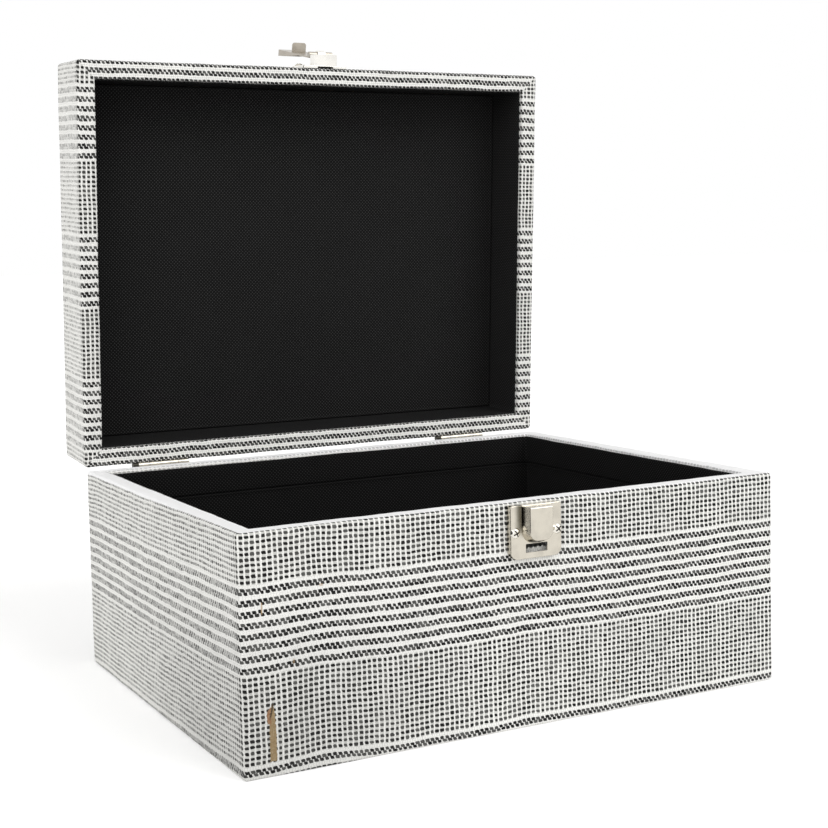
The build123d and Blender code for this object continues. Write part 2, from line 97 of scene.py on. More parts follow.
@dataclass(frozen=True)
class Sizes:
    """The sizes of the box that several sub-assemblies share, as in the CAD model."""

    width: float = 300.0
    depth: float = 228.5
    box_height: float = 110.0
    lid_height: float = 40.0
    rim_gap: float = 1.1
    open_angle: float = 86.6
    pivot_set_back: float = 0.9
    board: float = 9.0
    panel: float = 4.0
    cloth: float = 0.6
    corner: float = 2.1
    rounding: float = 1.4
    lining: float = 3.1

    @property
    def rim_z(self) -> float:
        """The height of the lid's rim when the box is shut."""
        return self.box_height + self.rim_gap

    @property
    def lid_top_z(self) -> float:
        """The height of the shut box."""
        return self.rim_z + self.lid_height

    @property
    def pivot_y(self) -> float:
        """The lid's axis, from the middle backwards."""
        return self.depth / 2 + self.pivot_set_back

    @property
    def pivot_z(self) -> float:
        """The height of the lid's axis."""
        return self.box_height + self.rim_gap / 2

    @property
    def rim(self) -> float:
        """The width of a rim over its cloth."""
        return self.board + 2 * self.cloth

    @property
    def inner(self) -> float:
        """How far the bare inner face of a wall lies from the outside."""
        return self.board + self.cloth


SIZES = Sizes()


def swing_open() -> Matrix:
    """The turn that carries a shut lid to its open pose, for points in metres."""
    hub = Matrix.Translation((0, SIZES.pivot_y * MM, SIZES.pivot_z * MM))
    return hub @ Matrix.Rotation(-math.radians(SIZES.open_angle), 4, "X") @ hub.inverted()


class Nodes:
    """A node tree, written as short calls."""

    def __init__(self, tree: bpy.types.NodeTree) -> None:
        """Work on a tree."""
        self.tree = tree

    def node(
        self, kind: str, inputs: dict[str | int, object] | None = None, **settings: object
    ) -> bpy.types.Node:
        """Add a node.

        Args:
            kind: The node's type without its ShaderNode prefix.
            inputs: Values or sockets for its inputs, by name or number.
            **settings: Values for the node's own properties.

        Returns:
            The new node.
        """
        made = self.tree.nodes.new("ShaderNode" + kind)
        for name, value in settings.items():
            setattr(made, name, value)
        for name, value in (inputs or {}).items():
            self.feed(made.inputs[name], value)
        return made

    def feed(self, target: Socket, value: object) -> None:
        """Link a socket to an input, or set the input's value."""
        if isinstance(value, bpy.types.NodeSocket):
            self.tree.links.new(value, target)
        else:
            target.default_value = value

    def math(self, operation: str, *values: Value) -> Socket:
        """The result of one sum on up to three values."""
        return self.node("Math", dict(enumerate(values)), operation=operation).outputs[0]

    def add(self, *values: Value) -> Socket:
        """The sum of the values."""
        return reduce(lambda total, value: self.math("ADD", total, value), values)

    def times(self, *values: Value) -> Socket:
        """The product of the values."""
        return reduce(lambda total, value: self.math("MULTIPLY", total, value), values)

    def minus(self, first: Value, second: Value) -> Socket:
        """The first value less the second."""
        return self.math("SUBTRACT", first, second)

    def over(self, first: Value, second: Value) -> Socket:
        """The first value divided by the second."""
        return self.math("DIVIDE", first, second)

    def larger(self, first: Value, second: Value) -> Socket:
        """The larger of two values."""
        return self.math("MAXIMUM", first, second)

    def size(self, value: Value) -> Socket:
        """A value without its sign."""
        return self.math("ABSOLUTE", value)

    def rest(self, value: Value) -> Socket:
        """What a value lacks to 1."""
        return self.minus(1.0, value)

    def from_middle(self, place: Socket) -> Socket:
        """How far a place is from the nearest whole number."""
        return self.size(self.minus(place, self.math("ROUND", place)))

    def ramp(
        self, value: Value, low: float, high: float, start: float = 0.0, end: float = 1.0
    ) -> Socket:
        """A value eased from start to end while it goes from low to high."""
        limits = {"From Min": low, "From Max": high, "To Min": start, "To Max": end}
        made = self.node("MapRange", {"Value": value, **limits}, interpolation_type="SMOOTHSTEP")
        return made.outputs["Result"]

    def below(self, value: Value, limit: Value, soft: float) -> Socket:
        """1 where a value is below a limit, with a soft edge."""
        return self.ramp(self.minus(limit, value), -soft / 2, soft / 2)

    def above(self, value: Value, limit: Value, soft: float) -> Socket:
        """1 where a value is above a limit, with a soft edge."""
        return self.ramp(self.minus(value, limit), -soft / 2, soft / 2)

    def zone(self, value: Value, low: float, high: float, soft: float) -> Socket:
        """1 between two limits, with soft edges."""
        return self.times(self.above(value, low, soft), self.below(value, high, soft))

    def mix(self, factor: Value, first: object, second: object) -> Socket:
        """A colour between two colours."""
        return self.node("Mix", {0: factor, 6: first, 7: second}, data_type="RGBA").outputs[2]

    def noise(
        self, vector: Socket, scale: float, detail: float = 2.0, roughness: float = 0.5, out: str = "Fac"
    ) -> Socket:
        """A noise texture on a vector: its value, or its colour."""
        inputs = {"Vector": vector, "Scale": scale, "Detail": detail, "Roughness": roughness}
        return self.node("TexNoise", inputs).outputs[out]

    def seen(self) -> Socket:
        """1 for what is looked at, straight, mirrored or through glass, and 0 for what only lights."""
        path = self.node("LightPath").outputs
        return self.larger(
            path["Is Camera Ray"], self.larger(path["Is Glossy Ray"], path["Is Transmission Ray"])
        )


class Graph(Nodes):
    """The node tree of one material with a principled shader."""

    def __init__(self, name: str) -> None:
        """Start a material of that name."""
        self.material = bpy.data.materials.new(name)
        self.material.use_nodes = True
        super().__init__(self.material.node_tree)
        self.shader = self.tree.nodes["Principled BSDF"]

    def bump(self, height: Socket, strength: float, distance: float) -> None:
        """Set the shader's normal from a height.

        Args:
            height: The height, in units of distance.
            strength: How strongly it shows.
            distance: The height's size in metres.
        """
        made = self.node("Bump", {"Strength": strength, "Distance": distance, "Height": height})
        self.feed(self.shader.inputs["Normal"], made.outputs["Normal"])

    def set(self, **values: object) -> None:
        """Set shader inputs; an underscore in a name stands for a space."""
        for name, value in values.items():
            self.feed(self.shader.inputs[name.replace("_", " ")], value)


def rgba(colour: Colour) -> tuple[float, float, float, float]:
    """A colour with full alpha."""
    return (*colour, 1.0)


class ClothGraph(Graph):
    """The node tree of a woven cloth, with what all parts of its pattern read.

    Attributes:
        weave: The weave map.
        across: The place across the warp, in millimetres.
        along: The place along it.
        thread: Noise as fine as the threads, which makes edges ragged.
        fine: Finer noise.
        cloud: Broad noise.
    """

    def __init__(self, name: str) -> None:
        """Start a material of that name."""
        super().__init__(name)
        self.weave = self.node("UVMap", uv_map=WEAVE).outputs["UV"]
        parts = self.node("SeparateXYZ", {"Vector": self.weave}).outputs
        self.across, self.along = parts["X"], parts["Y"]
        self.thread = self.noise(self.weave, 1.1)
        self.fine = self.noise(self.weave, 2.2, 3.0, 0.7)
        self.cloud = self.noise(self.weave, 0.07)

    def blob(self, first: Socket, second: Socket) -> Socket:
        """A rounded square with a soft, ragged edge.

        Args:
            first: The distance from its middle across, over half its width.
            second: The distance from its middle along, over half its height.

        Returns:
            1 inside the square, 0 outside.
        """
        powers = (self.math("POWER", self.size(distance), 4.0) for distance in (first, second))
        return self.ramp(self.add(*powers, self.times(self.minus(self.thread, 0.5), 2.2)), 1.7, 0.55)


@dataclass(frozen=True)
class Fleck:
    """A small spot in the cloth, such as a tuft of tan fibre, a dark tuck or a painted shadow.

    Attributes:
        across: Its place across the warp, in the weave map's millimetres.
        along: Its place along the warp.
        half: Half its width and half its height.
        colour: Its colour.
        strength: How much it covers the cloth, from 0 to 1.
    """

    across: float
    along: float
    half: Point
    colour: Colour = (0.42, 0.29, 0.16)
    strength: float = 0.6

    def laid_over(self, g: ClothGraph, cloth: Socket) -> Socket:
        """The cloth's colour with the fleck over it."""
        first = g.over(g.minus(g.across, self.across), self.half[0])
        second = g.over(g.minus(g.along, self.along), self.half[1])
        return g.mix(g.times(g.blob(first, second), self.strength), cloth, rgba(self.colour))


@dataclass(frozen=True)
class WornStrip:
    """A worn strip in the cloth, where tan and rust-coloured yarn shows.

    Places are in the weave map's millimetres. A line down the strip has its place at the
    top and its bends: where each starts and ends along the warp, and how far it shifts.
    Its dark colour is painted shadow along the crease near the strip's left edge, in its upper part.
    """

    top: float = 77.0
    bottom: float = 102.7
    left: float = -135.9
    left_bends: tuple[Triple, ...] = ((77.0, 81.0, -2.7), (85.2, 86.2, 1.1))
    right: float = -135.5
    right_bends: tuple[Triple, ...] = ((77.0, 82.0, 0.8), (82.0, 92.0, 0.4))
    crease: float = -135.8
    crease_bends: tuple[Triple, ...] = ((77.0, 86.0, -1.6),)
    crease_end: float = 83.5
    raggedness: float = 1.2
    tan: Colour = (0.255, 0.18, 0.095)
    rust: Colour = (0.26, 0.13, 0.07)
    pale: Colour = (0.38, 0.30, 0.19)
    # painted shadow along the crease
    dark: Colour = (0.02, 0.015, 0.012)

    def laid_over(self, g: ClothGraph, cloth: Socket) -> Socket:
        """The cloth's colour with the strip over it."""
        ragged = g.times(g.minus(g.thread, 0.5), self.raggedness)
        inside = g.times(
            g.above(g.across, self._line(g, self.left, self.left_bends, ragged), 0.5),
            g.below(g.across, self._line(g, self.right, self.right_bends, ragged), 0.5),
            g.zone(g.add(g.along, g.times(ragged, 1.6)), self.top, self.bottom, 0.6),
        )
        yarns = g.node("Mapping", {"Vector": g.weave, "Scale": (3.0, 0.25, 1.0)}).outputs["Vector"]
        streaks = g.noise(yarns, 1.0, 3.0, 0.7)
        low_down = g.ramp(g.add(g.along, g.times(streaks, 4.0)), 89.5, 86.0)
        rusty = g.times(low_down, g.ramp(g.across, -136.2, -137.0))
        yarn = g.mix(rusty, rgba(self.tan), rgba(self.rust))
        bleached = g.ramp(g.add(streaks, g.times(g.thread, 0.5)), 0.62, 1.0, 0.0, 0.7)
        yarn = g.mix(bleached, yarn, rgba(self.pale))
        # painted shadow: a dark line along the crease near the strip's left edge
        crease = self._line(g, self.crease, self.crease_bends, g.times(ragged, 0.7))
        near = g.below(g.size(g.minus(g.across, crease)), 0.45, 0.4)
        crease_shadow_mask = g.times(near, g.zone(g.along, self.top - 1.0, self.crease_end, 3.0))
        yarn = g.mix(g.times(crease_shadow_mask, 0.8), yarn, rgba(self.dark))
        return g.mix(inside, cloth, yarn)

    def _line(self, g: ClothGraph, place: float, bends: Sequence[Triple], ragged: Socket) -> Socket:
        """The place of a ragged line that shifts sideways on its way down the strip."""
        shifts = (g.ramp(g.along, low, high, 0.0, shift) for low, high, shift in bends)
        return g.add(place, *shifts, ragged)


@dataclass(frozen=True)
class CheckCloth:
    """Coarse off-white cloth with bands of small black checks and rows of black dashes.

    The pattern reads a map in millimetres: across the warp, and along it from the first
    edge. Bands repeat along it.

    Attributes:
        name: The material's name.
        rim_fades: Whether the marks fade where the cloth goes over the rim, where its ground also turns
            whiter, a painted highlight.
        strip: The worn strip; with it the cloth also gets painted shade, darker low down round the
            front's left corner.
        flecks: Small spots.
        wanders: How threads wander: each noise's scale, and its reach across and along.
        lead: How far before the first dashes a repeat starts.
        check_start: How far the first checks lie from the first dashes.
        side_start: Where across the warp the marks turn paler, wide and low.
        side_fade: How much paler they all are.
    """

    name: str
    rim_fades: bool = False
    strip: WornStrip | None = None
    flecks: tuple[Fleck, ...] = ()
    white: Colour = (0.92, 0.915, 0.885)
    rim_highlight: Colour = (0.97, 0.97, 0.98)
    weft: Colour = (0.56, 0.56, 0.53)
    thread_gap_shade: Colour = (0.42, 0.42, 0.41)
    black: Colour = (0.010, 0.010, 0.010)
    grey: Colour = (0.11, 0.11, 0.105)
    # painted shade, low down round the front's left corner
    low_left_shade: Colour = (0.02, 0.02, 0.019)
    wanders: tuple[Triple, ...] = ((0.022, 1.2, 0.5), (0.1, 0.9, 1.0), (0.45, 0.5, 0.4))
    warp_pitch: float = 2.65
    check_pitch: float = 2.493
    dash_pitch: float = 4.957
    dash_drop: float = 0.68
    dash_rows: int = 8
    lead: float = 3.0
    check_start: float = 38.5
    check_rows: int = 16
    repeat: float = 80.1
    side_start: float = 153.0
    side_end: float = 376.0
    side_fade: float = 0.08

    def make(self) -> bpy.types.Material:
        """The material."""
        g = ClothGraph(self.name)
        across, along = self._wandered(g)
        place = g.over(across, self.warp_pitch)
        band = g.math("WRAP", g.minus(along, FIRST_DASH), self.repeat - self.lead, -self.lead)
        on_side = g.zone(g.size(g.across), self.side_start, self.side_end, 4.0)
        checks, check_pale, in_check = self._checks(g, place, band, on_side)
        dashes, dash_pale = self._dashes(g, place, band)
        pale = g.larger(g.times(checks, check_pale), g.times(dashes, dash_pale))
        paler = g.add(self.side_fade, g.times(pale, 0.35), g.ramp(g.thread, 0.45, 0.7, 0.0, 0.25))
        marks = g.times(g.larger(checks, dashes), g.rest(g.times(on_side, paler)))
        in_check = g.times(in_check, g.rest(g.times(on_side, 0.75)))
        if self.rim_fades:
            off_rim = g.ramp(g.along, -1.4, 0.1)
            inner_edge = g.times(g.ramp(g.along, -8.4, -9.4), 0.45)
            marks = g.times(marks, g.larger(off_rim, inner_edge))
            in_check = g.times(in_check, off_rim)

        ground = self._ground(g, place, along, in_check)
        # painted highlight: the ground turns whiter over the rim
        if self.rim_fades:
            on_rim = g.times(g.ramp(g.along, 0.2, -1.0), g.ramp(g.along, -12.0, -9.8))
            ground = g.mix(g.times(on_rim, 0.85), ground, rgba(self.rim_highlight))
        greyed = g.ramp(g.add(pale, g.times(g.cloud, 0.8)), 0.55, 1.5)
        colour = g.mix(marks, ground, g.mix(greyed, rgba(self.black), rgba(self.grey)))
        # painted shade: the cloth darker low down round the front's left corner
        if self.strip:
            colour = self.strip.laid_over(g, self._shaded_low_left(g, colour))
        for fleck in self.flecks:
            colour = fleck.laid_over(g, colour)
        g.set(
            Base_Color=colour, Roughness=0.9, Specular_IOR_Level=0.12,
            Sheen_Weight=0.04, Sheen_Roughness=0.5,
        )
        ribs = (
            g.times(g.math("SINE", g.times(threads, 4 * math.pi)), 0.35)
            for threads in (place, g.over(along, self.check_pitch))
        )
        g.bump(g.add(*ribs, g.times(g.fine, 0.9), g.times(marks, -0.6)), 0.5, 0.0002)
        return g.material

    def _wandered(self, g: ClothGraph) -> tuple[Socket, Socket]:
        """The places across and along the warp, moved as the threads wander."""
        across, along = g.across, g.along
        for scale, reach_x, reach_y in self.wanders:
            colour = g.noise(g.weave, scale, 1.0, out="Color")
            drift = g.node("SeparateColor", {"Color": colour}).outputs
            across = g.add(across, g.times(g.minus(drift[0], 0.5), reach_x))
            along = g.add(along, g.times(g.minus(drift[1], 0.5), reach_y))
        return across, along

    def _cell(self, g: Graph, column: Value, row: Value, layer: Value) -> bpy.types.NodeOutputs:
        """Three random numbers that belong to one mark of the pattern."""
        key = g.node("CombineXYZ", {"X": column, "Y": row, "Z": layer}).outputs["Vector"]
        chance = g.node("TexWhiteNoise", {"Vector": key}, noise_dimensions="3D").outputs["Color"]
        return g.node("SeparateColor", {"Color": chance}).outputs

    def _narrow(self, g: Graph, column: Socket) -> Socket:
        """How much narrower the marks of a column are: now and then a gap stays wide."""
        chance = g.node("TexWhiteNoise", {"W": column}, noise_dimensions="1D").outputs["Value"]
        return g.add(g.times(g.math("GREATER_THAN", chance, 0.87), 0.06), g.times(chance, 0.04))

    def _checks(
        self, g: ClothGraph, place: Socket, band: Socket, on_side: Socket
    ) -> tuple[Socket, Socket, Socket]:
        """The bands of small black squares.

        Args:
            g: The graph.
            place: The place across, in columns.
            band: The place along, from the first row of dashes.
            on_side: 1 on the sides, where the squares are drawn wide and low.

        Returns:
            The squares, how pale each is, and the bands that they lie in.
        """
        rows = g.over(g.minus(band, self.check_start), self.check_pitch)
        column, row = g.math("ROUND", place), g.math("ROUND", rows)
        chance = self._cell(g, column, row, 0.0)
        down = g.minus(rows, row)
        sideways = g.minus(g.minus(place, column), g.times(down, 0.16))
        wide = g.add(0.345, g.times(chance[0], 0.07), g.times(on_side, 0.03))
        half_x = g.minus(wide, self._narrow(g, column))
        half_y = g.add(0.245, g.times(chance[1], 0.08), g.times(on_side, -0.035))
        in_check = g.zone(rows, -0.5, self.check_rows - 0.5, 0.05)
        square = g.blob(g.over(sideways, half_x), g.over(down, half_y))
        return g.times(square, in_check), chance[2], in_check

    def _dashes(self, g: ClothGraph, place: Socket, band: Socket) -> tuple[Socket, Socket]:
        """The rows of black dashes, each of two lines that lean into each other.

        Args:
            g: The graph.
            place: The place across, in columns.
            band: The place along, from the first row.

        Returns:
            The dashes and how pale each is.
        """
        rows = g.over(band, self.dash_pitch)
        row = g.math("ROUND", rows)
        down = g.times(g.minus(rows, row), self.dash_pitch)
        lower = g.math("GREATER_THAN", down, 0.0)
        from_line = g.add(down, self.dash_drop, g.times(lower, -2 * self.dash_drop))
        leaned = g.add(place, g.times(lower, -0.5), g.times(from_line, -0.10))
        column = g.math("ROUND", leaned)
        chance = self._cell(g, column, row, g.add(lower, 1.0))
        half_x = g.minus(g.add(0.34, g.times(chance[0], 0.09)), g.times(self._narrow(g, column), 0.5))
        half_y = g.add(0.70, g.times(chance[1], 0.16))
        dash = g.blob(g.over(g.minus(leaned, column), half_x), g.over(from_line, half_y))
        return g.times(dash, g.zone(rows, -0.5, self.dash_rows - 0.5, 0.02)), chance[2]

    def _ground(self, g: ClothGraph, place: Socket, along: Socket, in_check: Socket) -> Socket:
        """The off-white cloth between the marks, with its threads, and grey lines that are painted shade
        in the gaps between threads.

        Args:
            g: The graph.
            place: The place across, in columns.
            along: The place along the warp.
            in_check: The bands of squares, where the weft shows grey.

        Returns:
            The colour.
        """
        from_column = g.from_middle(place)
        uneven = g.ramp(g.add(g.fine, g.times(g.cloud, 0.6)), 0.45, 1.0, 0.35, 0.95)
        grey_weft = g.times(g.below(from_column, 0.34, 0.10), in_check, uneven)
        # painted shade: grey lines in the gaps between the threads
        upright = g.below(g.from_middle(g.times(place, 2.0)), 0.09, 0.08)
        upright = g.times(upright, g.rest(g.times(in_check, g.above(from_column, 0.3, 0.1))))
        level = g.below(g.from_middle(g.over(along, self.check_pitch / 2)), 0.10, 0.08)
        lines = g.times(g.larger(g.times(upright, 0.7), g.times(level, 0.5)), g.ramp(g.fine, 0.36, 0.56))
        toned = g.ramp(g.add(g.times(g.cloud, 0.6), g.times(g.fine, 0.4)), 0.4, 0.68, 0.0, 0.16)
        white = g.mix(toned, rgba(self.white), rgba(self.weft))
        return g.mix(lines, g.mix(grey_weft, white, rgba(self.weft)), rgba(self.thread_gap_shade))

    def _shaded_low_left(self, g: ClothGraph, cloth: Socket) -> Socket:
        """The cloth with painted shade: darker low down round the front's left corner and on the left
        side.
        """
        near = g.math("MINIMUM", g.ramp(g.across, -10.0, -140.0), g.ramp(g.across, -330.0, -165.0))
        strength = g.times(near, g.ramp(g.along, 20.0, 95.0, 0.15, 1.0), 0.24)
        return g.mix(strength, cloth, rgba(self.low_left_shade))


@dataclass(frozen=True)
class LiningCloth:
    """Fine black cloth with a tight diagonal weave.

    Attributes:
        name: The material's name.
        low: The grey between its threads.
        high: The grey of its threads.
        thread: The distance after which the weave repeats.
    """

    name: str
    low: float = 0.0055
    high: float = 0.062
    thread: float = 2.1

    def make(self) -> bpy.types.Material:
        """The material."""
        g = Graph(self.name)
        weave = g.node("UVMap", uv_map=WEAVE).outputs["UV"]
        parts = g.node("SeparateXYZ", {"Vector": weave}).outputs
        waves = (g.math("SINE", g.times(parts[axis], 2 * math.pi / self.thread)) for axis in "XY")
        knots = g.ramp(g.times(*waves), 0.15, 0.95)
        drift = g.noise(weave, 0.03, 3.0)
        fuzz = g.noise(weave, 1.4, 2.0, 0.6)
        level = g.add(g.times(knots, 0.75), g.times(fuzz, 0.09), g.times(drift, 0.06))
        colour = g.mix(level, rgba((self.low,) * 3), rgba((self.high,) * 3))
        g.set(Base_Color=colour, Roughness=0.9, Specular_IOR_Level=0.03, Sheen_Weight=0.0)
        g.bump(g.add(knots, g.times(fuzz, 0.6)), 0.5, 0.0002)
        return g.material


@dataclass(frozen=True)
class Fibres:
    """A dull material of short fibres, such as felt, card or raw fibreboard.

    Attributes:
        name: The material's name.
        dark: Its darkest colour.
        pale: Its palest colour.
        grain: The scale, detail and roughness of its noise.
        relief: The strength and the size in metres of its bumps.
        roughness: How dull its gloss is.
        gloss: How strong its gloss is.
        sheen: How much its nap shines at the edges.
        clouded: The share that broad clouds have in its colour.
    """

    name: str
    dark: Colour
    pale: Colour
    grain: Triple
    relief: Point
    roughness: float
    gloss: float = 0.5
    sheen: float = 0.0
    clouded: float = 0.0

    def make(self) -> bpy.types.Material:
        """The material."""
        g = Graph(self.name)
        place = g.node("TexCoord").outputs["Object"]
        level = fibres = g.noise(place, *self.grain)
        if self.clouded:
            cloud = g.noise(place, 60.0, 2.0)
            level = g.add(g.times(fibres, 1.0 - self.clouded), g.times(cloud, self.clouded))
        g.set(
            Base_Color=g.mix(level, rgba(self.dark), rgba(self.pale)), Roughness=self.roughness,
            Specular_IOR_Level=self.gloss, Sheen_Weight=self.sheen,
        )
        g.bump(fibres, *self.relief)
        return g.material


@dataclass(frozen=True)
class PaintedReflection:
    """A painted reflection on a plate, in millimetres of the frame: a dark patch drawn where the curved
    foot of a boss mirrors dark surroundings.

    Attributes:
        start: Where along X it starts.
        full: Where along X it is complete.
        edge: Where along X it ends, sharply.
        low: The height where it starts.
        high: The height where it is complete.
        colour: Its colour.
    """

    start: float
    full: float
    edge: float
    low: float
    high: float
    colour: Colour = (0.10, 0.09, 0.065)

    def laid_over(self, g: Graph, plating: Socket, place: Socket, patches: Socket) -> Socket:
        """The plating's colour with the painted reflection over it."""
        axes = g.node("SeparateXYZ", {"Vector": place}).outputs
        covered = g.times(
            g.ramp(axes["X"], self.start * MM, self.full * MM),
            g.ramp(axes["X"], self.edge * MM, (self.edge - 0.4) * MM),
            g.ramp(axes["Z"], self.low * MM, self.high * MM),
            g.ramp(patches, 0.2, 0.6, 0.75, 1.0),
        )
        return g.mix(g.times(covered, 0.9), plating, rgba(self.colour))


@dataclass(frozen=True)
class Nickel:
    """Plated metal with fine drawn lines, dulled a little in patches.

    Attributes:
        name: The material's name.
        colour: Its colour.
        roughness: How dull its gloss is.
        hollows: Places in millimetres of the frame: round each, within a ball, the surface gets painted
            shade, as in the cross of a screw head.
        hollow_reach: The radius of that ball.
        recess_shade: The colour of that painted shade.
        painted_reflection: A painted dark reflection on the plate.
    """

    name: str
    colour: Colour = (0.62, 0.58, 0.50)
    roughness: float = 0.16
    hollows: tuple[Triple, ...] = ()
    hollow_reach: float = 2.9
    recess_shade: Colour = (0.05, 0.042, 0.03)
    painted_reflection: PaintedReflection | None = None

    def make(self) -> bpy.types.Material:
        """The material."""
        g = Graph(self.name)
        place = g.node("TexCoord").outputs["Object"]
        stretched = g.node("Mapping", {"Vector": place, "Scale": (260.0, 260.0, 2600.0)})
        lines = g.noise(stretched.outputs["Vector"], 1.0, 2.0)
        patches = g.noise(place, 160.0, 3.0)
        dull = tuple(0.86 * c for c in self.colour)
        plating = g.mix(g.ramp(patches, 0.35, 0.75), rgba(self.colour), rgba(dull))
        # painted shade: the surface inside a small ball round each hollow is drawn dark
        for hollow in self.hollows:
            centre = tuple(MM * c for c in hollow)
            depth = g.node("VectorMath", {0: place, 1: centre}, operation="DISTANCE").outputs["Value"]
            inside = g.ramp(depth, self.hollow_reach * MM, (self.hollow_reach - 0.1) * MM)
            plating = g.mix(inside, plating, rgba(self.recess_shade))
        # painted reflection: a dark patch drawn on the plate
        if self.painted_reflection:
            plating = self.painted_reflection.laid_over(g, plating, place, patches)
        roughness = g.add(self.roughness - 0.06, g.times(patches, 0.12))
        g.set(Base_Color=plating, Metallic=1.0, Roughness=roughness)
        g.bump(g.add(g.times(lines, 0.4), patches), 0.12, 0.0002)
        return g.material


@dataclass(frozen=True)
class Station:
    """One ring of a form.

    Attributes:
        inset: How far in from the outline it lies.
        height: Its height.
        along: How far along the cloth it lies.
    """

    inset: float
    height: float
    along: float


class Profile:
    """A line of stations that is drawn like a cut through the cloth."""

    _sign = 1.0

    def __init__(self, inset: float, height: float, along: float) -> None:
        """Start the line at a point."""
        self.stations = [Station(inset, height, along)]

    def line(self, inset: float, height: float, steps: int = 1) -> "Profile":
        """Go straight to a point.

        Args:
            inset: The point's inset.
            height: Its height.
            steps: How many stations the way is divided into.

        Returns:
            The profile itself.
        """
        last = self.stations[-1]
        length = self._sign * math.hypot(inset - last.inset, height - last.height)
        for step in range(1, steps + 1):
            share = step / steps
            self.stations.append(
                Station(
                    last.inset + (inset - last.inset) * share,
                    last.height + (height - last.height) * share,
                    last.along + length * share,
                )
            )
        return self

    def falling(self) -> "Profile":
        """Count the cloth's length downwards from here on."""
        self._sign = -1.0
        return self

    def bend(
        self, centre: Point, start: float, sweep: float, radius: float, steps: int = 5
    ) -> "Profile":
        """Go round a curve.

        Args:
            centre: The inset and height of its centre.
            start: The angle that it starts at, in degrees from the inset's axis.
            sweep: How far it turns, in degrees.
            radius: Its radius.
            steps: How many stations it is divided into.

        Returns:
            The profile itself.
        """
        first = self.stations[-1].along
        for step in range(1, steps + 1):
            angle = math.radians(start + sweep * step / steps)
            self.stations.append(
                Station(
                    centre[0] + radius * math.cos(angle),
                    centre[1] + radius * math.sin(angle),
                    first + self._sign * radius * math.radians(abs(sweep)) * step / steps,
                )
            )
        return self


MapRule = Callable[[Side, float, float, float], Point]


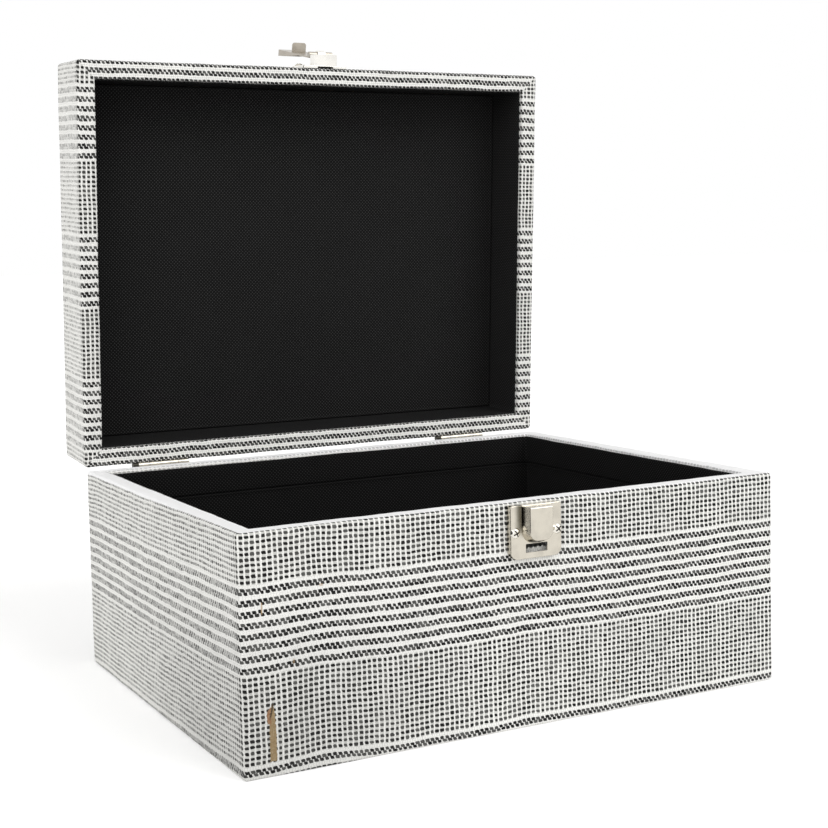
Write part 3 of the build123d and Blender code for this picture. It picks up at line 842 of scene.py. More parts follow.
@dataclass
class RingForm:
    """A rectangular form with rounded corners, swept along a profile of stations.

    Attributes:
        width: Its outline along X.
        depth: Its outline along Y.
        corner: The radius of its corners.
        pitch: About how far apart its columns stand.
        fixed: Where along each side the columns start to run together towards a corner.
        corner_steps: How many faces go round a corner.
    """

    width: float
    depth: float
    corner: float
    pitch: float = 3.0
    fixed: Point = (130.0, 90.0)
    corner_steps: int = 6

    def __post_init__(self) -> None:
        """Work out the columns."""
        self.across_x = self._places(self.width / 2 - self.corner)
        self.across_y = self._places(self.depth / 2 - self.corner)
        self.columns: list[tuple[Side, float]] = []
        self.turns: list[tuple[int, float]] = []
        orders = (
            (Side.FRONT, self.across_x, Side.RIGHT),
            (Side.RIGHT, self.across_y, Side.BACK),
            (Side.BACK, [-x for x in self.across_x], Side.LEFT),
            (Side.LEFT, [-y for y in self.across_y], Side.FRONT),
        )
        for number, (side, places, after) in enumerate(orders):
            self.columns += [(side, place) for place in places]
            self.turns += [(number, 0.0)] * len(places)
            for step in range(1, self.corner_steps):
                share = step / self.corner_steps
                self.columns.append((side if share < 0.5 else after, 0.0))
                self.turns.append((number, share))

    def _places(self, half: float) -> list[float]:
        """Column places from one corner to the other."""
        steps = max(1, round(2 * half / self.pitch))
        return [-half + 2 * half * step / steps for step in range(steps + 1)]

    def _slid(self, place: float, half: float, fixed: float, inset: float) -> float:
        """A column's place on a ring that lies further in than the corner's radius."""
        if abs(place) <= fixed or inset <= self.corner:
            return place
        reach = (half - inset - fixed) / (half - self.corner - fixed)
        return math.copysign(fixed + (abs(place) - fixed) * reach, place)

    def point(self, number: int, station: Station) -> Vector:
        """The place of a column on a ring."""
        half_x, half_y = self.width / 2, self.depth / 2
        side, place = self.columns[number]
        quarter, share = self.turns[number]
        inset = station.inset
        if share:
            middle = max(self.corner, inset)
            radius = max(self.corner - inset, 0.0)
            angle = math.radians(90 * (quarter - 1 + share))
            sign_x, sign_y = ((1, -1), (1, 1), (-1, 1), (-1, -1))[quarter]
            x = sign_x * (half_x - middle) + radius * math.cos(angle)
            y = sign_y * (half_y - middle) + radius * math.sin(angle)
            return Vector((x, y, station.height))
        if side in (Side.FRONT, Side.BACK):
            x = self._slid(place, half_x, self.fixed[0], inset)
            y = half_y - inset
            return Vector((x, -y if side is Side.FRONT else y, station.height))
        y = self._slid(place, half_y, self.fixed[1], inset)
        x = half_x - inset
        return Vector((x if side is Side.RIGHT else -x, y, station.height))

    def face_side(self, number: int) -> Side:
        """The side that the face after a column belongs to."""
        quarter, share = self.turns[number]
        order = (Side.FRONT, Side.RIGHT, Side.BACK, Side.LEFT)
        return order[(quarter + (share >= 0.5)) % 4]

    def build(
        self, name: str, stations: Sequence[Station], rule: MapRule, cap: bool = False
    ) -> bpy.types.Object:
        """Make the form's mesh, with its weave map.

        Args:
            name: The object's name.
            stations: The rings in order.
            rule: Turns a side, a place and a length along the cloth into the weave map.
            cap: Whether the last ring is closed by a flat grid.

        Returns:
            The new object, in millimetres.
        """
        mesh = bmesh.new()
        weave = mesh.loops.layers.uv.new(WEAVE)
        count = len(self.columns)
        rings = [[mesh.verts.new(self.point(n, station)) for n in range(count)] for station in stations]
        for level, (lower, upper) in enumerate(zip(stations, stations[1:])):
            for n in range(count):
                m = (n + 1) % count
                side = self.face_side(n)
                face = mesh.faces.new(
                    (rings[level][n], rings[level][m], rings[level + 1][m], rings[level + 1][n])
                )
                for loop, station in zip(face.loops, (lower, lower, upper, upper)):
                    place = loop.vert.co
                    loop[weave].uv = rule(side, place.x, place.y, station.along)
        if cap:
            self._close(mesh, weave, stations[-1], rule)
        bmesh.ops.remove_doubles(mesh, verts=mesh.verts[:], dist=1e-4)
        bmesh.ops.delete(mesh, geom=[v for v in mesh.verts if not v.link_faces], context="VERTS")
        return finished(mesh, name)

    def _close(self, mesh: bmesh.types.BMesh, weave: object, station: Station, rule: MapRule) -> None:
        """Close the last ring with a grid whose edge meets the ring."""
        half_x, half_y = self.width / 2, self.depth / 2
        end_x, end_y = half_x - station.inset, half_y - station.inset
        xs = [self._slid(x, half_x, self.fixed[0], station.inset) for x in self.across_x]
        ys = [self._slid(y, half_y, self.fixed[1], station.inset) for y in self.across_y]
        xs, ys = sorted({-end_x, end_x, *xs}), sorted({-end_y, end_y, *ys})
        grid = [[mesh.verts.new((x, y, station.height)) for x in xs] for y in ys]
        for j in range(len(ys) - 1):
            for i in range(len(xs) - 1):
                face = mesh.faces.new((grid[j][i], grid[j][i + 1], grid[j + 1][i + 1], grid[j + 1][i]))
                for loop in face.loops:
                    loop[weave].uv = rule(Side.TOP, loop.vert.co.x, loop.vert.co.y, station.along)


def finished(mesh: bmesh.types.BMesh, name: str) -> bpy.types.Object:
    """Turn a mesh into a smooth-shaded object."""
    data = bpy.data.meshes.new(name)
    mesh.to_mesh(data)
    mesh.free()
    data.shade_smooth()
    made = bpy.data.objects.new(name, data)
    bpy.context.scene.collection.objects.link(made)
    return made


def roughened(
    piece: bpy.types.Object, waves: Sequence[Point], seed: float, keep_low: float = -math.inf
) -> None:
    """Move a mesh's points in and out a little, so that no face stays dead flat.

    Args:
        piece: The piece, in millimetres.
        waves: Pairs of wave length and reach.
        seed: Where the noise is read.
        keep_low: Points at or under this height stay in place.
    """
    start = Vector((seed, 0, 0))
    normals = [vertex.normal.copy() for vertex in piece.data.vertices]
    for vertex, normal in zip(piece.data.vertices, normals):
        if vertex.co.z > keep_low:
            shift = sum(reach * noise.noise(vertex.co / length + start) for length, reach in waves)
            vertex.co += normal * shift


def placed(piece: bpy.types.Object, matrix: Matrix | None = None) -> None:
    """Bring a piece that was drawn in millimetres into the frame, in metres."""
    piece.data.transform((matrix or Matrix.Identity(4)) @ Matrix.Scale(MM, 4))


def thickened(piece: bpy.types.Object, thickness: float) -> None:
    """Give a skin its thickness, inwards from the face that shows."""
    solid = piece.modifiers.new("thickness", "SOLIDIFY")
    solid.thickness = thickness * MM
    solid.offset = -1.0
    solid.use_rim = True


def dress(
    piece: bpy.types.Object, material: bpy.types.Material, body: str, node: str,
) -> None:
    """Give a new sheet of cloth its material and its body, hide the CAD node that it stands for, and log
    its points.

    Args:
        piece: The piece.
        material: Its material.
        body: The body that it rides on.
        node: The CAD node that it stands for.
    """
    piece.data.materials.append(material)
    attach(piece, body)
    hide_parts(node)
    log.info("%s: %d points", piece.name, len(piece.data.vertices))


def share_of(value: float, low: float, high: float) -> float:
    """0 below low, 1 above high, and a straight way between."""
    return min(1.0, max(0.0, (value - low) / (high - low)))


def eased(value: float, low: float, high: float) -> float:
    """0 below low, 1 above high, and a smooth step between."""
    share = share_of(value, low, high)
    return share * share * (3 - 2 * share)


def way_round(side: Side, x: float, y: float) -> float:
    """The distance along a tray's walls from the middle of the front, round its corners."""
    half_x, half_y, slack = SIZES.width / 2, SIZES.depth / 2, CORNER_SLACK
    if side is Side.RIGHT:
        return half_x + half_y + y - slack
    if side is Side.LEFT:
        return slack - half_x - half_y - y
    if side is Side.BACK:
        return 2 * (half_x + half_y - slack) - x
    return x


@dataclass(frozen=True)
class Wander:
    """A rise or a dip of the rows on their way along a wall.

    Attributes:
        start: Where a rise begins, or the middle of a dip.
        end: Where the rise is complete, or the dip's half width.
        top: How much it is at the first row.
        more: What the lowest rows add to that.
    """

    start: float
    end: float
    top: float
    more: float = 0.0

    def rise(self, place: float, low: float) -> float:
        """What a rise adds at a place; low is 0 at the first row and 1 at the lowest."""
        return (self.top + self.more * low) * eased(place, self.start, self.end)

    def dip(self, place: float, low: float) -> float:
        """What a dip adds at a place."""
        return (self.top + self.more * low) * math.exp(-(((place - self.start) / self.end) ** 2))


@dataclass
class BoxCover:
    """The check cloth of the box, from the hem under the base to the edge turned in at the rim.

    The cloth was glued on by hand, so its rows wander: front_drift and left_drift say how
    far each lies below its true place. A level is what all rows share, at the top and what
    the lowest add.

    Attributes:
        overlap: How far its ends lie over each other; not used.
        low_rows: The depths under the rim between which the wandering changes.
        sag_rows: The same for the sag on the left side.
        left_start: Where the left side takes over from the front's corner.
    """

    material: bpy.types.Material
    hem: float = 14.0
    turn_in: float = 18.0
    overlap: float = 10.0
    thickness: float = 0.5
    low_rows: Point = (FIRST_DASH, 106.5)
    sag_rows: Point = (26.0, 61.0)
    front_level: Point = (-0.46, 0.74)
    front_dips: tuple[Wander, ...] = (
        Wander(-112.0, 17.0, -0.62, -0.91), Wander(2.0, 18.0, -0.28, -0.51),
    )
    front_rises: tuple[Wander, ...] = (
        Wander(-98.0, -68.0, 0.48, 0.30),
        Wander(5.0, 50.0, 0.65, -0.65),
        Wander(108.0, 130.0, -0.54, 0.23),
    )
    left_level: Point = (-0.3, 0.5)
    left_rises: tuple[Wander, ...] = (Wander(-112.0, 22.0, 2.1), Wander(95.0, 112.0, 0.5))
    left_sag: Wander = Wander(-115.0, -75.0, 0.0, 0.6)
    left_start: Point = (-114.0, -98.0)

    def front_drift(self, x: float, depth: float) -> float:
        """How far below its true place a row lies at a place on the front."""
        low = share_of(depth, *self.low_rows)
        level = self.front_level[0] + self.front_level[1] * low
        dips = sum(wander.dip(x, low) for wander in self.front_dips)
        return level + dips + sum(wander.rise(x, low) for wander in self.front_rises)

    def left_drift(self, y: float, depth: float) -> float:
        """How far below its true place a row lies at a place on the left side."""
        low = share_of(depth, *self.low_rows)
        near = self.front_drift(-SIZES.width / 2, depth)
        far = self.left_level[0] + self.left_level[1] * low
        far += sum(wander.rise(y, low) for wander in self.left_rises)
        far += self.left_sag.rise(y, share_of(depth, *self.sag_rows))
        return near + (far - near) * eased(y, *self.left_start)

    def drift(self, side: Side, x: float, y: float, depth: float) -> float:
        """How far below its true place a row lies anywhere on the walls."""
        if side is Side.LEFT:
            return self.left_drift(y, depth)
        right = self.front_drift(SIZES.width / 2, depth)
        if side is Side.RIGHT:
            return right + 0.15 * math.sin((y + SIZES.depth / 2) / 23.0)
        if side is Side.BACK:
            share = 0.5 - x / SIZES.width
            return right + (self.left_drift(SIZES.depth / 2, depth) - right) * share
        return self.front_drift(x, depth)

    def map_rule(self, side: Side, x: float, y: float, along: float) -> Point:
        """The weave map: across is the way round the walls, along is the depth under the rim."""
        return way_round(side, x, y), along - self.drift(side, x, y, max(along, 0.0))

    def build(self) -> None:
        """Make the cover in the frame, and dress it."""
        s, r = SIZES, SIZES.rounding
        top, rim = s.box_height, s.rim
        line = Profile(self.hem, 0.0, s.box_height + self.hem - 0.43 * r).falling()
        line.line(r, 0.0, 4)
        line.bend((r, r), 270, -90, r)
        line.line(0.0, top - r, 37)
        line.bend((r, top - r), 180, -90, r)
        line.line(rim - r, top, 4)
        line.bend((rim - r, top - r), 90, -90, r)
        line.line(rim, top - self.turn_in + 1.0, 5)
        form = RingForm(s.width, s.depth, s.corner)
        made = form.build("check_cloth_box", line.stations, self.map_rule)
        roughened(made, ((22.0, 0.22), (7.0, 0.12)), 3.0, keep_low=0.5)
        placed(made)
        thickened(made, self.thickness)
        dress(made, self.material, "box", "box_cloth")


@dataclass
class LidCover:
    """The check cloth of the lid, one sheet over its top, walls and rim.

    Attributes:
        first_dash_at: How far from the free edge its first row of dashes lies.
        stretch: The cloth's length on one millimetre of the lid.
        front_slip: How far it has slipped on the front wall.
        drift_left: Distances from the free edge along the left rim, and how far beyond
            its true place a row lies there.
        drift_right: The same along the right rim.
    """

    material: bpy.types.Material
    turn_in: float = 12.0
    thickness: float = 0.5
    first_dash_at: float = 17.9
    stretch: float = 0.98
    front_slip: float = -1.73
    back_slip: float = 2.0
    drift_left: tuple[tuple[float, ...], tuple[float, ...]] = (
        (18.0, 38.0, 53.0, 100.0, 130.0, 190.0, 217.0), (-1.5, -0.9, -0.6, -0.4, -0.1, -0.7, -0.2),
    )
    drift_right: tuple[tuple[float, ...], tuple[float, ...]] = (
        (18.0, 43.0, 105.0, 128.0, 190.0), (0.0, 0.45, 0.5, 1.0, 0.6),
    )

    def along_depth(self, y: float) -> float:
        """The place in the cloth's repeat of a line across the lid."""
        return FIRST_DASH + (y + SIZES.depth / 2 - self.first_dash_at) * self.stretch

    def drift(self, x: float, y: float) -> float:
        """How far beyond its true place a row lies."""
        from_edge = y + SIZES.depth / 2
        left, right = np.interp(from_edge, *self.drift_left), np.interp(from_edge, *self.drift_right)
        return float(left + (right - left) * (x / SIZES.width + 0.5))

    def map_rule(self, side: Side, x: float, y: float, along: float) -> Point:
        """The weave map: one sheet, folded down over the edges, seen from its outer face."""
        half_x, half_y = SIZES.width / 2, SIZES.depth / 2
        if side is Side.FRONT:
            return -x, self.along_depth(-half_y) - along + self.front_slip
        if side is Side.BACK:
            return -x, self.along_depth(half_y) + along + self.back_slip
        place = self.along_depth(y) - self.drift(x, y)
        if side is Side.LEFT:
            near_edge = 0.4 * (1.0 - eased(y + half_y, 35.0, 60.0))
            from_rim = 0.3 * (1.0 - share_of(along, 0.0, SIZES.lid_height))
            outside = eased(along, SIZES.lid_height + 2.0, SIZES.lid_height)
            return half_x + along, place + (near_edge + from_rim) * outside
        if side is Side.RIGHT:
            return -half_x - along, place
        return -x, place

    def build(self) -> None:
        """Make the cover in the frame, and dress it."""
        s, r = SIZES, SIZES.rounding
        low, high, rim = s.rim_z, s.lid_top_z, s.rim
        start = s.lid_height + rim + self.turn_in
        line = Profile(rim, low + self.turn_in, start).falling()
        line.line(rim, low + r, 4)
        line.bend((rim - r, low + r), 0, -90, r)
        line.line(r, low, 4)
        line.bend((r, low + r), 270, -90, r)
        line.line(0.0, high - r, 13)
        line.bend((r, high - r), 180, -90, r)
        line.line(2 * r, high)
        form = RingForm(s.width, s.depth, s.corner)
        made = form.build("check_cloth_lid", line.stations, self.map_rule, cap=True)
        roughened(made, ((26.0, 0.22), (7.0, 0.12)), 11.0)
        placed(made, swing_open())
        thickened(made, self.thickness)
        dress(made, self.material, "lid", "lid_cloth")


@dataclass
class BaseCover:
    """The felt under the base, inside the hem."""

    material: bpy.types.Material
    inset: float = 14.4
    thickness: float = 0.6
    edge: float = 0.25

    def build(self) -> None:
        """Make the felt in the frame, and dress it."""
        line = Profile(0.0, 0.0, 0.0).line(0.0, self.thickness - self.edge)
        line.bend((self.edge, self.thickness - self.edge), 180, -90, self.edge, 3)
        width, depth = SIZES.width - 2 * self.inset, SIZES.depth - 2 * self.inset
        form = RingForm(width, depth, 1.5, pitch=8.0, fixed=(120.0, 85.0))
        made = form.build("felt_underside", line.line(2.0, self.thickness).stations, flat_map, cap=True)
        made.data.transform(Matrix.Rotation(math.pi, 4, "X"))
        made.data.transform(Matrix.Translation((0, 0, self.thickness)))
        placed(made)
        dress(made, self.material, "box", "base_cover")


def flat_map(side: Side, x: float, y: float, along: float) -> Point:
    """A weave map that lies flat over a panel and runs down its edges."""
    if side in (Side.LEFT, Side.RIGHT):
        return x + math.copysign(along, x), y
    if side in (Side.FRONT, Side.BACK):
        return x, y + math.copysign(along, y)
    return x, y


@dataclass
class LinedPanel:
    """A card with lining drawn over it: a thin pillow with soft edges and a flat back.

    Attributes:
        name: The piece's name.
        size: Its length and width.
        thickness: How far it stands from its back.
        edge: The radius of its soft edges.
        crown: How much the middle stands over the edges.
        slope: How far from the edges its surface rises.
        wave: The length and the reach of its surface's waves.
        seed: Where their noise is read.
    """

    name: str
    size: Point
    thickness: float
    edge: float = 1.4
    crown: float = 0.35
    slope: float = 25.0
    wave: Point = (34.0, 0.18)
    seed: float = 0.0

    def build(self, matrix: Matrix) -> bpy.types.Object:
        """The panel's mesh.

        Args:
            matrix: From the panel's own plane, with its back at height 0, to the frame in
                millimetres, the lid's swing included.

        Returns:
            The new object, in metres.
        """
        line = Profile(0.0, 0.0, 0.0).line(0.0, self.thickness - self.edge)
        line.bend((self.edge, self.thickness - self.edge), 180, -90, self.edge)
        line.line(self.edge + 1.6, self.thickness)
        half_x, half_y = (length / 2 for length in self.size)
        fixed = (max(half_x - 12.0, 1.0), max(half_y - 12.0, 1.0))
        form = RingForm(*self.size, 0.9, pitch=5.0, fixed=fixed, corner_steps=4)
        stations = [Station(s.inset, s.height, self.thickness - s.height) for s in line.stations]
        made = form.build(self.name, stations, flat_map, cap=True)
        for vertex in made.data.vertices:
            if vertex.co.z > self.thickness - 1e-3:
                from_edge = min(half_x - abs(vertex.co.x), half_y - abs(vertex.co.y))
                rise = min(1.0, from_edge / min(half_x, half_y, self.slope))
                lift = self.crown * math.sin(rise * math.pi / 2)
                start = Vector((self.seed, 0, 0))
                wave = self.wave[1] * rise * noise.noise(vertex.co / self.wave[0] + start)
                vertex.co.z += lift - self.crown + wave
        placed(made)
        made.data.transform(Matrix.Translation(matrix.translation * MM) @ matrix.to_3x3().to_4x4())
        return made


@dataclass
class BoxLining:
    """The black lining of the box: four walls and a floor on cards, and a band under the rim.

    Attributes:
        band_top: How far under the rim the band begins.
        band_bottom: How far under the rim it ends.
        groove: The gap between the band and the wall panels.
        roll: The radius of the band's rolled edges.
    """

    material: bpy.types.Material
    band_top: float = 1.6
    band_bottom: float = 18.0
    groove: float = 0.12
    roll: float = 0.9

    def build(self) -> None:
        """Make and dress every piece of the lining."""
        s = SIZES
        half_x, half_y = s.width / 2 - s.inner, s.depth / 2 - s.inner
        in_x, in_y = half_x - s.lining, half_y - s.lining
        low = s.cloth + s.panel
        high = s.box_height - self.band_bottom - self.groove
        tall, middle = high - low, (high + low) / 2
        walls = (
            ("front", (0, -half_y, middle), 0.0, 2 * half_x),
            ("right", (half_x, 0, middle), 90.0, 2 * in_y),
            ("back", (0, half_y, middle), 180.0, 2 * half_x),
            ("left", (-half_x, 0, middle), 270.0, 2 * in_y),
        )
        for seed, (name, place, turn, length) in enumerate(walls):
            size = (length - PANEL_ROOM, tall)
            panel = LinedPanel(f"lining_{name}_wall", size, s.lining, seed=4.0 * seed)
            upright = Matrix.Rotation(math.radians(turn), 4, "Z") @ Matrix.Rotation(-math.pi / 2, 4, "X")
            piece = panel.build(Matrix.Translation(place) @ upright)
            dress(piece, self.material, "box", f"{name}_lining")
        size = (2 * in_x - PANEL_ROOM, 2 * in_y - PANEL_ROOM)
        floor = LinedPanel("lining_floor", size, s.lining, seed=23.0)
        piece = floor.build(Matrix.Translation((0, 0, low)))
        dress(piece, self.material, "box", "floor_lining")
        self._band()

    def _band(self) -> None:
        """The strip over the turned-in cloth, with rolled edges."""
        s, roll = SIZES, self.roll
        outer, inner = s.rim + STRIP_ROOM, s.inner + s.lining
        top, bottom = s.box_height - self.band_top, s.box_height - self.band_bottom
        line = Profile(outer, bottom, 0.0).line(outer, top - roll, 3)
        line.bend((outer + roll, top - roll), 180, -90, roll, 4)
        line.line(inner - roll, top)
        line.bend((inner - roll, top - roll), 90, -90, roll, 4)
        line.line(inner, bottom + roll, 6)
        line.bend((inner - roll, bottom + roll), 0, -90, roll, 4)
        line.line(outer, bottom)
        form = RingForm(s.width, s.depth, s.corner, pitch=4.0)
        made = form.build("lining_band_box", line.stations, round_map)
        roughened(made, ((30.0, 0.25), (9.0, 0.12)), 31.0)
        placed(made)
        dress(made, self.material, "box", "lining_band")


@dataclass
class LidLining:
    """The black lining of the lid: a strip round its walls and a panel over its inside.

    Attributes:
        strip: The thickness of the strip.
        top: How far from the rim it begins.
        roll: The radius of its rolled edge.
    """

    material: bpy.types.Material
    strip: float = 1.4
    top: float = 3.0
    panel_thickness: float = 2.2
    roll: float = 0.35

    def build(self) -> None:
        """Make and dress every piece of the lining."""
        s = SIZES
        half_x, half_y = s.width / 2 - s.inner - self.strip, s.depth / 2 - s.inner - self.strip
        ceiling = s.lid_top_z - s.cloth - s.panel
        size = (2 * half_x - PANEL_ROOM, 2 * half_y - PANEL_ROOM)
        panel = LinedPanel("lining_lid_panel", size, self.panel_thickness, 1.6, 0.3, seed=41.0)
        down = Matrix.Translation((0, 0, ceiling)) @ Matrix.Rotation(math.pi, 4, "X")
        opened = swing_open()
        opened.translation /= MM
        piece = panel.build(opened @ down)
        dress(piece, self.material, "lid", "lid_top_lining")
        self._strip(ceiling)

    def _strip(self, ceiling: float) -> None:
        """The strip round the walls, with a rolled edge near the rim."""
        s, roll = SIZES, self.roll
        outer, inner = s.rim + STRIP_ROOM, s.inner + self.strip
        low = s.rim_z + self.top
        line = Profile(outer, ceiling, 0.0).falling().line(outer, low + roll, 3)
        line.bend((outer + roll, low + roll), 180, 90, roll, 3)
        line.line(inner - roll, low)
        line.bend((inner - roll, low + roll), 270, 90, roll, 3)
        line.line(inner, ceiling - STRIP_ROOM, 7)
        form = RingForm(s.width, s.depth, s.corner, pitch=4.0)
        made = form.build("lining_lid_strip", line.stations[::-1], round_map)
        placed(made, swing_open())
        dress(made, self.material, "lid", "lid_side_lining")


def round_map(side: Side, x: float, y: float, along: float) -> Point:
    """A weave map that runs round four walls and along their height."""
    return way_round(side, x, y), along


@dataclass
class CarriedParts:
    """The CAD parts whose shape is right: they get their finishes.

    Attributes:
        nodes: The frame's nodes by name.
        finishes: The finish of each slot.
        own: Finishes of single nodes that differ from their slot's.
    """

    nodes: dict[str, bpy.types.Object]
    finishes: dict[Slot, Nickel | Fibres]
    own: dict[str, Nickel]

    def dress(self, slots: dict[str, str]) -> None:
        """Assign to every shown node its material.

        Args:
            slots: The record's material slot of each node.
        """
        made: dict[Nickel | Fibres, bpy.types.Material] = {}
        for name, node in self.nodes.items():
            finish = self.own.get(name) or self.finishes.get(Slot(slots[name]))
            if finish is None:
                continue
            if finish not in made:
                made[finish] = finish.make()
            node.data.materials.clear()
            node.data.materials.append(made[finish])
            log.info("%s: %s", name, finish.name)


@dataclass
class Studio:
    """Camera, lamps, pale floor and white surroundings.

    Attributes:
        focal: The focal length in pixels of the 828 pixel frame.
        centre: Where the camera's axis meets that frame.
        azimuth: The camera's heading from straight ahead, in degrees.
        elevation: How far it looks down.
        roll: Its turn about its own axis.
        place: Where it stands, in metres.
        clip: The nearest and the furthest distance that it sees.
        sky: The colour of the even light, with its strength.
        lamps: The name, strength, spread in degrees and direction of each lamp.
        floor_reach: How far the floor goes, in metres.
        floor_grey: How much light it throws back.
        floor_glow: The light of its own that it shows where it is looked at.
    """

    focal: float = 1496.31
    centre: Point = (371.60, 361.35)
    azimuth: float = -26.9095
    elevation: float = 4.2121
    roll: float = -1.3989
    place: Triple = (-0.38574, -0.71115, 0.23052)
    clip: Point = (0.02, 60.0)
    frame_width: int = 828
    sensor: float = 36.0
    sky: Colour = (1.0, 0.995, 0.985)
    sky_strength: float = 0.66
    lamps: tuple[tuple[str, float, float, Triple], ...] = (
        ("key", 1.0, 40.0, (-0.45, 0.72, -0.75)),
        ("fill", 1.2, 60.0, (0.8, 0.5, -0.35)),
    )
    floor_reach: float = 20.0
    floor_grey: float = 0.86
    floor_glow: float = 0.32
    card_black: float = 0.012

    def build(self) -> None:
        """Make everything around the object."""
        self._camera()
        self._world()
        self._floor()
        self._dark_card()
        self._lamps()

    def _camera(self) -> None:
        """The camera at the place the photograph was taken from."""
        az, el, roll = (math.radians(a) for a in (self.azimuth, self.elevation, self.roll))
        ahead = Vector((-math.sin(az) * math.cos(el), math.cos(az) * math.cos(el), -math.sin(el)))
        right = ahead.cross(Vector((0, 0, 1))).normalized()
        up = right.cross(ahead)
        turned_right = right * math.cos(roll) + up * math.sin(roll)
        turned_up = -right * math.sin(roll) + up * math.cos(roll)
        data = bpy.data.cameras.new("camera")
        data.sensor_width = self.sensor
        data.lens = self.focal * self.sensor / self.frame_width
        data.shift_x = 0.5 - self.centre[0] / self.frame_width
        data.shift_y = self.centre[1] / self.frame_width - 0.5
        data.clip_start, data.clip_end = self.clip
        camera = bpy.data.objects.new("camera", data)
        basis = Matrix((turned_right, turned_up, -ahead)).transposed().to_4x4()
        camera.matrix_world = Matrix.Translation(self.place) @ basis
        bpy.context.scene.collection.objects.link(camera)
        bpy.context.scene.camera = camera

    def _world(self) -> None:
        """Even pale light, and plain white where the surroundings are seen."""
        world = bpy.data.worlds.new("surroundings")
        bpy.context.scene.world = world
        world.use_nodes = True
        nodes = Nodes(world.node_tree)
        nodes.tree.nodes.clear()
        light = nodes.node("Background", {"Color": rgba(self.sky), "Strength": self.sky_strength})
        white = nodes.node("Background", {"Color": WHITE, "Strength": 1.0})
        mixed = nodes.node("MixShader", {0: nodes.seen(), 1: light.outputs[0], 2: white.outputs[0]})
        nodes.node("OutputWorld", {"Surface": mixed.outputs[0]})

    def _staged(self, name: str, faces: Sequence[Sequence[Triple]], g: Graph) -> bpy.types.Object:
        """A piece of flat faces that belongs to the staging.

        Args:
            name: Its name.
            faces: The corners of each face, in metres.
            g: The graph of its material.

        Returns:
            The new object.
        """
        mesh = bmesh.new()
        for corners in faces:
            mesh.faces.new([mesh.verts.new(corner) for corner in corners])
        made = finished(mesh, name)
        made.data.materials.append(g.material)
        return made

    def _floor(self) -> None:
        """A white floor that keeps the object's soft shadow."""
        g = Graph("floor_paper")
        g.set(
            Base_Color=rgba((self.floor_grey,) * 3), Roughness=0.9, Specular_IOR_Level=0.0,
            Emission_Color=WHITE, Emission_Strength=g.times(g.seen(), self.floor_glow),
        )
        reach = self.floor_reach
        square = [(x * reach, y * reach, 0.0) for x, y in ((-1, -1), (1, -1), (1, 1), (-1, 1))]
        floor = self._staged("floor", [square], g)

    def _dark_card(self) -> None:
        """A black card that only gloss shows, as dark lines on the edges of the metal.

        It lies on the floor left of the object, and stands upright at its own left end.
        """
        low, high = 0.0006, 1.2
        left, right, front, middle, back = -1.3, -0.24, -1.25, -0.24, 0.1
        faces = (
            ((left, back, low), (left, middle, low), (right, middle, low), (right, back, low)),
            ((left, middle, low), (left, front, low), (right, middle, low)),
            ((left, back, low), (left, front, low), (left, front, high), (left, back, high)),
        )
        g = Graph("black_card")
        g.set(Base_Color=rgba((self.card_black,) * 3), Roughness=0.9, Specular_IOR_Level=0.0)
        card = self._staged("dark_card", faces, g)
        card.visible_camera = card.visible_diffuse = card.visible_shadow = False
        card.visible_transmission = card.visible_volume_scatter = False

    def _lamps(self) -> None:
        """A soft key from the right and above, and a weak fill from the left."""
        for name, strength, spread, towards in self.lamps:
            data = bpy.data.lights.new(name, "SUN")
            data.energy, data.angle = strength, math.radians(spread)
            lamp = bpy.data.objects.new(name, data)
            lamp.rotation_euler = Vector(towards).to_track_quat("-Z", "Y").to_euler()
            bpy.context.scene.collection.objects.link(lamp)


TUFTS = (
    Fleck(-139.6, 34.5, (0.35, 2.6), strength=0.75),
    Fleck(-110.7, 28.0, (0.9, 0.6), strength=0.5),
    Fleck(49.5, 94.0, (0.8, 0.8), strength=0.4),
    Fleck(-125.0, 60.0, (0.5, 1.2), strength=0.35),
    Fleck(-62.0, 71.0, (0.9, 0.5), strength=0.3),
    Fleck(96.0, 33.5, (1.0, 0.5), strength=0.25),
)
# painted shadow: the shade inside the catch's slot, drawn dark on the box cloth behind it
CATCH_SHADE = Fleck(1.2, 21.2, (6.5, 1.35), (0.006, 0.006, 0.006), 0.95)
TUCK = Fleck(189.6, 10.4, (1.5, 1.2), (0.01, 0.01, 0.01), 1.0)

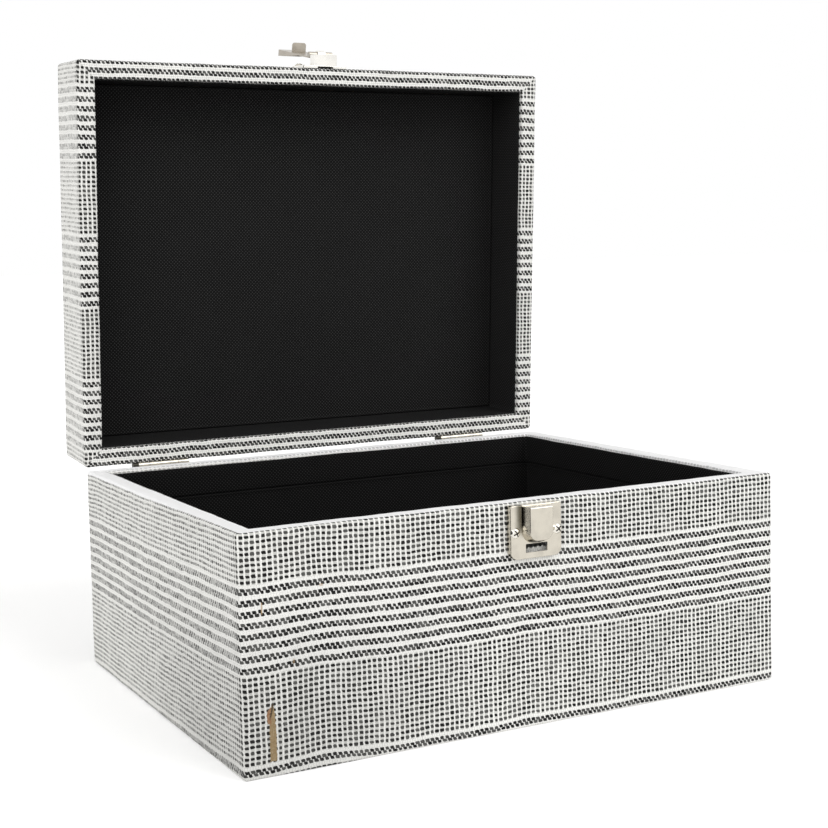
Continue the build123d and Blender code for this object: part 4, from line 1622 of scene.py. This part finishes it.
BOX_CLOTH = CheckCloth(
    "check_cloth_low", rim_fades=True, strip=WornStrip(), flecks=(*TUFTS, CATCH_SHADE)
)
LID_CLOTH = CheckCloth("check_cloth_high", flecks=(TUCK,), side_end=188.5, side_fade=0.35)
# painted shade: the box's lining is a darker copy of the lid's, for the less light inside the box
BOX_LINING = LiningCloth("black_lining_low_shaded", low=0.0035, high=0.04)
LID_LINING = LiningCloth("black_lining_high")
FELT = Fibres(
    "felt", (0.018, 0.018, 0.02), (0.06, 0.06, 0.063), (900.0, 4.0, 0.8), (0.5, 0.0003), 0.95,
    gloss=0.1, sheen=0.25,
)
SLOT_FINISHES = {
    Slot.NICKEL: Nickel("nickel_plate"),
    Slot.STEEL: Nickel("plated_steel", (0.56, 0.54, 0.49), 0.3),
    Slot.FIBREBOARD: Fibres(
        "raw_fibreboard", (0.25, 0.15, 0.08), (0.5, 0.34, 0.2), (1400.0, 4.0, 0.7), (0.4, 0.0003), 0.85,
        clouded=0.3,
    ),
    Slot.CARD: Fibres(
        "plain_card", (0.36, 0.3, 0.22), (0.52, 0.45, 0.35), (700.0, 3.0, 0.7), (0.3, 0.0002), 0.9
    ),
}
# The hinge pins are drawn near black.
PIN_FINISH = Nickel("near_black_steel", (0.045, 0.042, 0.035), 0.42)
CATCH_SCREWS = tuple((1.2 + side * 11.8, -116.27, 95.9) for side in (-1, 1))
NODE_FINISHES = {
    "left_hinge_pin": PIN_FINISH,
    "right_hinge_pin": PIN_FINISH,
    # painted highlight: a paler copy of the nickel, for the white that the bracket mirrors
    "hasp_bracket": Nickel("bracket_nickel_painted_highlight", (0.93, 0.91, 0.86), 0.22),
    # painted shade in the crosses of the screw heads
    "catch_screws": Nickel("crossed_heads", (0.80, 0.77, 0.70), hollows=CATCH_SCREWS),
    # painted reflection: a dark patch left of the catch's boss and on its flank
    "catch_plate": Nickel("plate_with_painted_reflection", painted_reflection=PaintedReflection(-11.6, -8.2, -6.4, 92.5, 99.5)),
    # painted reflection: a darker copy of the nickel, for the dark that the hasp's strap mirrors
    "hasp": Nickel("hasp_nickel_painted_dark", (0.46, 0.42, 0.36), 0.3),
}


def main() -> None:
    """Build every sub-assembly in order and report each piece."""
    logging.basicConfig(level=logging.INFO, format="%(name)s: %(message)s")
    Studio().build()
    bpy.context.scene.view_settings.view_transform = "Standard"

    slots = {part["node"]: part["material_slot"] for part in frame["record"]["subparts"]}
    CarriedParts(frame["nodes"], SLOT_FINISHES, NODE_FINISHES).dress(slots)
    BoxCover(BOX_CLOTH.make()).build()
    LidCover(LID_CLOTH.make()).build()
    BaseCover(FELT.make()).build()
    BoxLining(BOX_LINING.make()).build()
    LidLining(LID_LINING.make()).build()


if __name__ == "__main__":
    main()
